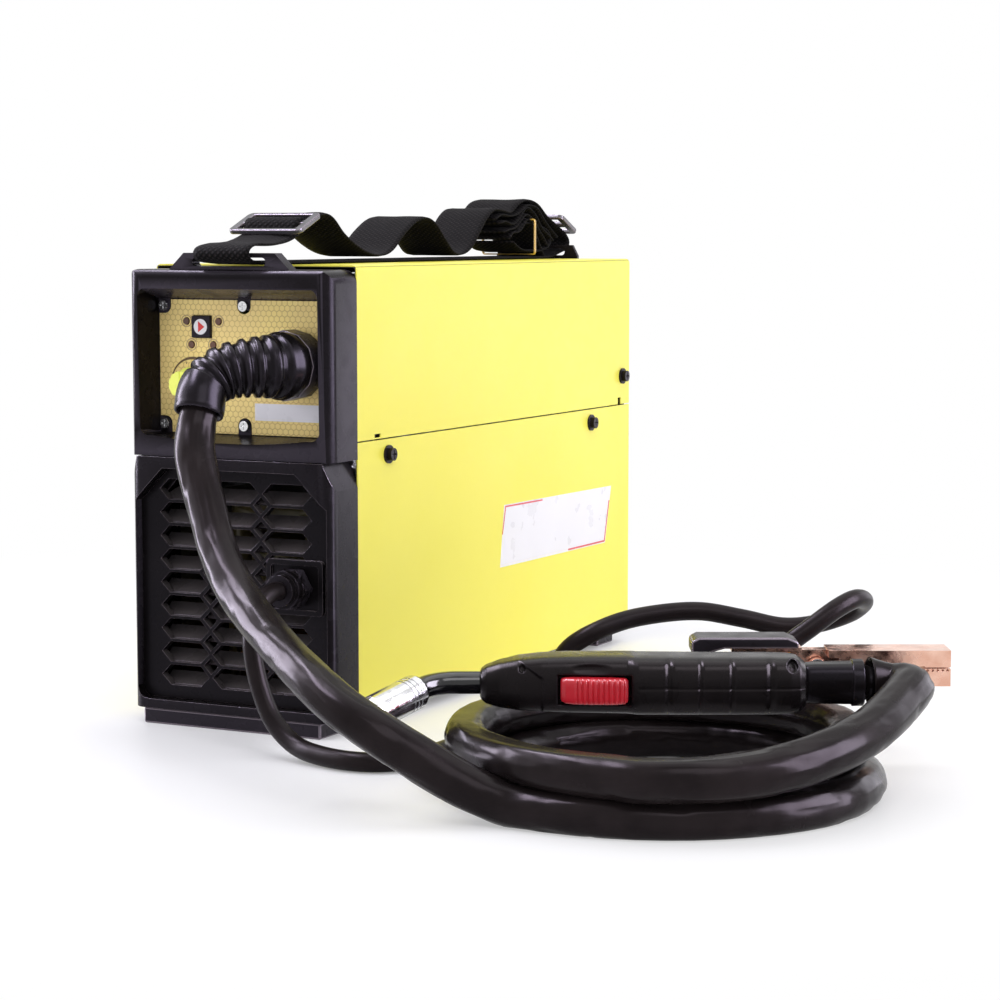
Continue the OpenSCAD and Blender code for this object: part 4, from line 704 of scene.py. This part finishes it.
# the cable sleeve's open end over the rear boot: x, radius
MOUTH = [(217.0, 10.0), (213.0, 10.9), (209.5, 12.0), (206.4, 12.9), (205.4, 13.2), (205.2, 12.9),
         (205.6, 12.5), (209.0, 11.3), (212.0, 9.6), (213.0, 8.4)]
MOUTH_SIDES = 56
mouth_verts = []
for x, r in MOUTH:
    for k in range(MOUTH_SIDES):
        a = 2 * math.pi * k / MOUTH_SIDES
        c, s = math.cos(a), math.sin(a)
        wob = 1 + 0.05 * wave(c * 1.4, s * 1.4, x * 0.06)
        mouth_verts.append(at_torch(x + 1.2 * c, -r * wob * c, 1.04 * r * wob * s))
mouth_faces = tube_faces(len(MOUTH), MOUTH_SIDES, caps=False)
mesh_object("sleeve_mouth", mouth_verts, mouth_faces, mats["torch_sleeve"], "case")

# ---------------------------------------------------------------- strap
WEB_THICK = 0.0018
strap_pts = [V(0, y, z) for y, z in (
    (-190, 273.2), (-200, 273.9), (-208, 274.8), (-212, 278), (-209.5, 282), (-201, 284), (-190, 284),
    (-178, 284.9), (-166, 287.8), (-152, 293.4), (-138, 299.1), (-128, 301.3), (-117, 298.5), (-102, 289),
    (-78, 279.5), (-58, 276.6), (-42, 280), (-24, 291), (-10, 298), (2, 300), (14, 296), (26, 286),
    (38, 278), (50, 276.4), (62, 280.5), (74, 291), (86, 301), (98, 306), (112, 305.6), (124, 304.6),
    (136, 310), (150, 312.6), (166, 309.6), (180, 302), (194, 296.5), (207, 291), (214, 284.5),
    (211.5, 279), (203, 277), (195, 275.3), (186, 273.5), (170, 273.2), (60, 273.2), (-60, 273.2),
    (-176, 273.2))]
fold_pts = [V(0, y, z) for y, z in (
    (128, 284), (140, 279), (158, 277.4), (175, 278.4), (186, 283), (185, 290), (174, 294.5), (158, 297.5),
    (144, 296.5), (135, 291.5))]


def ribbon(name, pts, width, skew=None):
    """Webbing along pts: rounded edges, weave UVs in metres; skew(point, s, up) moves a point."""
    cols = 12
    p = resample(spline(pts, 8), 0.0025)
    n = len(p)
    prof = []
    for k in range(cols + 1):
        s = -1 + 2 * k / cols
        prof.append((s, 0.5 * min(1.0, (1 - abs(s)) * 8 + 0.45)))
    loop = prof + [(s, -h) for s, h in reversed(prof)]
    m = len(loop)
    verts, uvs, faces = [], [], []
    along = 0.0
    for i in range(n):
        if i:
            along += (p[i] - p[i - 1]).length
        up = Vector((1, 0, 0)).cross(tangent(p, i)).normalized()
        for s, h in loop:
            q = p[i] + Vector((s * width / 2, 0, 0)) + up * h * WEB_THICK
            if skew:
                q = q + skew(p[i], s, up)
            verts.append(q)
            uvs.append((s * width / 2, along))
    for i in range(n - 1):
        for k in range(m):
            k2 = (k + 1) % m
            faces.append((i * m + k, (i + 1) * m + k, (i + 1) * m + k2, i * m + k2))
    faces.append(tuple(range(m)))
    faces.append(tuple((n - 1) * m + k for k in range(m))[::-1])
    obj = mesh_object(name, verts, faces, mats["webbing"], "case", uvs=uvs)
    return obj


def crumple(q, s, up):
    """Sideways drift and small waves of webbing that was laid down by hand; flat near the case."""
    free = min(1.0, max(0.0, (q.z - 0.2745) / 0.012))
    w = wave(q.y * 22, s * 0.8, q.z * 30)
    return Vector((0.0015 * free * math.sin(q.y * 30), 0, 0)) + up * (0.0012 * free * w)


pieces = [ribbon("strap_band", strap_pts, 0.038, crumple), ribbon("strap_fold", fold_pts, 0.037, crumple)]
# the turn over the front slider's bar, along and across its slope
BAR_SLOPE = math.radians(22)
HALF_TURN = ((6.5, -2.6), (5.2, -0.6), (3.4, 1.8), (1.5, 2.6))
over = []
for v, w in [(-v, w) for v, w in HALF_TURN] + list(HALF_TURN[::-1]):
    c, s = math.cos(BAR_SLOPE), math.sin(BAR_SLOPE)
    over.append(V(0, -153 + v * c - w * s, 296 + v * s + w * c))
pieces.append(ribbon("strap_on_bar", over, 0.0372))
# the spare layers of the bundle, each under and shorter than the one before
CREST = [(92, 304), (104, 305.8), (118, 304.6), (130, 307), (140, 310.6), (150, 312.6), (166, 309.6),
         (180, 302), (194, 296.5), (204, 292)]
for k in range(1, 5):
    pts = []
    for y, z in CREST:
        sag = 3.1 * k + 0.02 * k * abs(y - 150) - 1.2 * math.sin(y * 0.11 + 2.0 * k)
        pts.append(V(0, 150 + (y - 150) * (1 - 0.13 * k), z - sag))
    pieces.append(ribbon(f"strap_wrap_{k}", pts, 0.0374 - 0.0004 * k))
for o in pieces:
    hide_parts("strap_webbing")

# ---------------------------------------------------------------- panel and label details
PRINT_THICK = 0.00012


def flat_shape(name, pts, plane, at, mat):
    """A thin printed or stuck-on shape; plane 'y' faces -Y with (x, z) points, 'x' faces +X with (y, z)."""
    verts = []
    for off in (0.0, PRINT_THICK):
        for a, z in pts:
            verts.append(Vector((a, at - off, z)) if plane == "y" else Vector((at + off, a, z)))
    n = len(pts)
    faces = [tuple(range(n)), tuple(range(2 * n - 1, n - 1, -1))]
    faces += [(k, (k + 1) % n, n + (k + 1) % n, n + k) for k in range(n)]
    o = mesh_object(name, verts, faces, mat, "case", smooth=False)
    b = bmesh.new()
    b.from_mesh(o.data)
    bmesh.ops.recalc_face_normals(b, faces=b.faces)
    b.to_mesh(o.data)
    b.free()
    return o


def polar(cx, cz, r, deg):
    return cx + r * math.cos(math.radians(deg)), cz + r * math.sin(math.radians(deg))


def circle_pts(cx, cz, r, n=40):
    return [polar(cx, cz, r, 360.0 * k / n) for k in range(n)]


def arc_band(cx, cz, r, w0, w1, a0, a1, n=30):
    """A band along an arc, w0 wide at its start and w1 at its end."""
    rim = [((w0 + (w1 - w0) * k / n) / 2, a0 + (a1 - a0) * k / n) for k in range(n + 1)]
    return [polar(cx, cz, r + w, a) for w, a in rim] + [polar(cx, cz, r - w, a) for w, a in rim[::-1]]


PANEL_Y = -0.188
BUTTON_Y = PANEL_Y - 0.002
PANEL_LABEL = [(0.007, 0.1815), (0.0555, 0.1815), (0.0555, 0.1915), (0.007, 0.1915)]
PLAY_MARK = [(-0.0305, 0.2324), (-0.0262, 0.2356), (-0.0305, 0.2388)]
DIAL_ARROW = [(-0.0245, 0.2120), (-0.0285, 0.2190), (-0.0215, 0.2172)]
LAMPS_AT = ((-0.040, 0.2388), (-0.0176, 0.2388), (-0.0366, 0.225), (-0.0214, 0.225))
DIAL = (-0.036, 0.202)
flat_shape("panel_label", PANEL_LABEL, "y", PANEL_Y, label_white)
disc = flat_shape("button_disc", circle_pts(-0.029, 0.2356, 0.0046), "y", BUTTON_Y, disc_white)
mark = flat_shape("button_mark", PLAY_MARK, "y", BUTTON_Y - 0.00013, print_red)
for o in (disc, mark):
    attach(o, "button")
for i, (x, z) in enumerate(LAMPS_AT):
    ring_pts = arc_band(x, z, 0.0034, 0.0005, 0.0005, 0, 359.9, 40)
    flat_shape(f"lamp_ring_{i}", ring_pts, "y", PANEL_Y, ring_grey)
flat_shape("dial_arc", arc_band(*DIAL, 0.0150, 0.0006, 0.0022, 160, 50), "y", PANEL_Y, print_dark)
flat_shape("dial_arrow", DIAL_ARROW, "y", PANEL_Y, print_dark)
TICK_AT, TICK_LENGTH, TICK_HALF = 0.0122, 0.0013, 0.0002
for k in range(8):
    a = math.radians(230 - 40 * k)
    c, s = math.cos(a), math.sin(a)
    pts = [(DIAL[0] + (TICK_AT + u) * c - v * s, DIAL[1] + (TICK_AT + u) * s + v * c)
           for u, v in ((0, TICK_HALF), (TICK_LENGTH, TICK_HALF), (TICK_LENGTH, -TICK_HALF), (0, -TICK_HALF))]
    flat_shape(f"dial_tick_{k}", pts, "y", PANEL_Y, print_dark)
SIDE_X = 0.069
SIDE_LABEL = [(0.012, 0.116), (0.178, 0.114), (0.168, 0.075), (0.006, 0.076)]
SIDE_LINES = {
    "a": [(0.0135, 0.1153), (0.068, 0.1146), (0.068, 0.1136), (0.0143, 0.1143)],
    "b": [(0.0135, 0.1153), (0.0143, 0.1143), (0.0098, 0.097), (0.0088, 0.0972)],
    "c": [(0.108, 0.0760), (0.1672, 0.0757), (0.1668, 0.0768), (0.108, 0.0771)],
    "d": [(0.1672, 0.0757), (0.1750, 0.1040), (0.1738, 0.1041), (0.1662, 0.0768)],
}
flat_shape("side_label", SIDE_LABEL, "x", SIDE_X, label_white)
for letter, pts in SIDE_LINES.items():
    flat_shape(f"side_line_{letter}", pts, "x", SIDE_X + PRINT_THICK, print_red)

# ---------------------------------------------------------------- CAD nodes: finish and softened edges
BEVEL = {  # width in metres
    "front_bezel": 0.0024, "lower_front": 0.0008, "front_grille": 0.0005, "control_panel": 0.0002,
    "foot_bars": 0.0012, "lower_body": 0.0003, "upper_cover": 0.0003, "side_door": 0.0003, "rear_panel": 0.0004,
    "torch_nut": 0.0008, "ground_gland": 0.0006, "clamp_upper_jaw": 0.0004, "clamp_lower_jaw": 0.0004,
    "clamp_upper_grip": 0.0012, "clamp_lower_grip": 0.0012, "mode_button": 0.0006, "power_knob": 0.0005,
    "case_screws": 0.0006, "panel_screws": 0.0003, "strap_buckles": 0.0007, "torch_nozzle": 0.0003,
    "power_rocker": 0.0005, "switch_frame": 0.0005, "cord_inlet": 0.0006, "spool": 0.0006, "feed_motor": 0.0008,
    "tension_lever": 0.0008, "pressure_arm": 0.0005, "rubber_band": 0.0004, "door_latch": 0.0006,
    "door_hinges": 0.0002, "fan_frame": 0.0004, "torch_socket": 0.0003, "indicator_leds": 0.0006,
}
# nodes whose bevels carry a painted highlight, paler than their faces, and nodes with a finish of their own:
# the door's yellow without the painted shade inside, the grille's black with a painted highlight on its upward
# faces
EDGE_LIT = {"front_grille", "lower_front", "ground_gland", "torch_nut", "clamp_upper_grip", "clamp_lower_grip",
            "strap_buckles", "case_screws", "foot_bars"}
OWN_FINISH = {"side_door": door_yellow, "front_grille": grille_black}
for name, o in nodes.items():
    o.data.materials.clear()
    o.data.materials.append(OWN_FINISH.get(name, mats[slot_of[name]]))
    for p in o.data.polygons:
        p.material_index = 0
        p.use_smooth = True
    weld = o.modifiers.new("weld", "WELD")
    weld.merge_threshold = 1e-6
    flat = o.modifiers.new("flat", "DECIMATE")
    flat.decimate_type = "DISSOLVE"
    flat.angle_limit = math.radians(0.6)
    if name in BEVEL:
        bv = o.modifiers.new("edge", "BEVEL")
        bv.width = BEVEL[name]
        bv.segments = 3 if name == "front_bezel" else 2
        bv.limit_method = "ANGLE"
        bv.angle_limit = math.radians(32)
        bv.use_clamp_overlap = True
        if name in EDGE_LIT:
            o.data.materials.append(edge_lit)
            bv.material = 1
    wn = o.modifiers.new("shade", "WEIGHTED_NORMAL")
    wn.keep_sharp = True

# ---------------------------------------------------------------- floor, light, world
WHITE = (1, 1, 1, 1)


def emptied(tree):
    for n in list(tree.nodes):
        tree.nodes.remove(n)
    return tree


bpy.ops.mesh.primitive_grid_add(x_subdivisions=2, y_subdivisions=2, size=24)
floor = bpy.context.object
floor.name = "floor"
floor_mat = bpy.data.materials.new("floor_pale")
floor_mat.use_nodes = True
t = emptied(floor_mat.node_tree)
co = add(t, "ShaderNodeTexCoord").outputs["Object"]
pale = two_tone(t, add(t, "ShaderNodeTexNoise", {"Vector": co, "Scale": 3.0}).outputs["Fac"],
                (0.93, 0.93, 0.945), (0.95, 0.95, 0.96))
shaded = add(t, "ShaderNodeBsdfPrincipled", {"Base Color": pale, "Roughness": 0.45, "Specular IOR Level": 0.3})
white = add(t, "ShaderNodeEmission", {"Color": WHITE, "Strength": 1.0})
dist = add(t, "ShaderNodeVectorMath", {0: co}, operation="LENGTH").outputs["Value"]
# near the machine the floor keeps its shadow, further off it goes over to white
far = ranged(t, dist, 0.28, 0.75, 0.22, 1.0, interpolation_type="SMOOTHSTEP")
mixed = add(t, "ShaderNodeMixShader", {0: calc(t, "MULTIPLY", far, backdrop_rays(t)),
                                       1: shaded.outputs[0], 2: white.outputs[0]})
add(t, "ShaderNodeOutputMaterial", {"Surface": mixed.outputs[0]})
floor.data.materials.append(floor_mat)

world = bpy.data.worlds.new("studio")
scene.world = world
world.use_nodes = True
t = emptied(world.node_tree)
fill = add(t, "ShaderNodeBackground", {"Color": (0.93, 0.93, 1.0, 1), "Strength": 0.66})
white = add(t, "ShaderNodeBackground", {"Color": WHITE, "Strength": 1.0})
mixed = add(t, "ShaderNodeMixShader", {0: backdrop_rays(t), 1: fill.outputs[0], 2: white.outputs[0]})
add(t, "ShaderNodeOutputWorld", {"Surface": mixed.outputs[0]})


def lamp(name, loc, target, size, power, color):
    d = bpy.data.lights.new(name, "AREA")
    d.shape = "RECTANGLE"
    d.size, d.size_y = size
    d.energy = power
    d.color = color
    o = bpy.data.objects.new(name, d)
    scene.collection.objects.link(o)
    o.location = loc
    o.rotation_euler = (Vector(target) - Vector(loc)).to_track_quat("-Z", "Y").to_euler()
    return o


LILAC = (0.90, 0.84, 1.0)
lamp("key", (1.4, -1.5, 1.9), (0.1, 0, 0.15), (1.5, 1.1), 19.5, (1.0, 0.98, 1.0))
lamp("left", (-1.7, -1.2, 1.3), (0.05, 0, 0.15), (1.2, 1.6), 15, (0.95, 0.92, 1.0))
lamp("top", (0.1, 0.3, 2.4), (0.1, 0, 0.1), (2.2, 2.2), 25, (1.0, 1.0, 1.0))
# these are seen in the reflections only
for strip in (lamp("strip_right", (1.47, 0.10, 0.70), (0.07, -0.2, 0.2), (0.9, 1.3), 75, LILAC),
              lamp("strip_left", (-1.4, -0.35, 0.66), (0.0, -0.2, 0.2), (0.4, 1.3), 48, LILAC),
              lamp("strip_top", (-0.75, -0.4, 1.7), (0.0, -0.2, 0.25), (1.4, 0.4), 62, LILAC),
              lamp("side_panel", (0.84, 1.3, 0.45), (0.07, -0.2, 0.2), (0.7, 1.0), 5.5, (0.92, 0.88, 1.0))):
    strip.visible_diffuse = False
    strip.visible_camera = False
scene.view_settings.view_transform = "Standard"

# ---------------------------------------------------------------- end
bpy.context.view_layer.update()
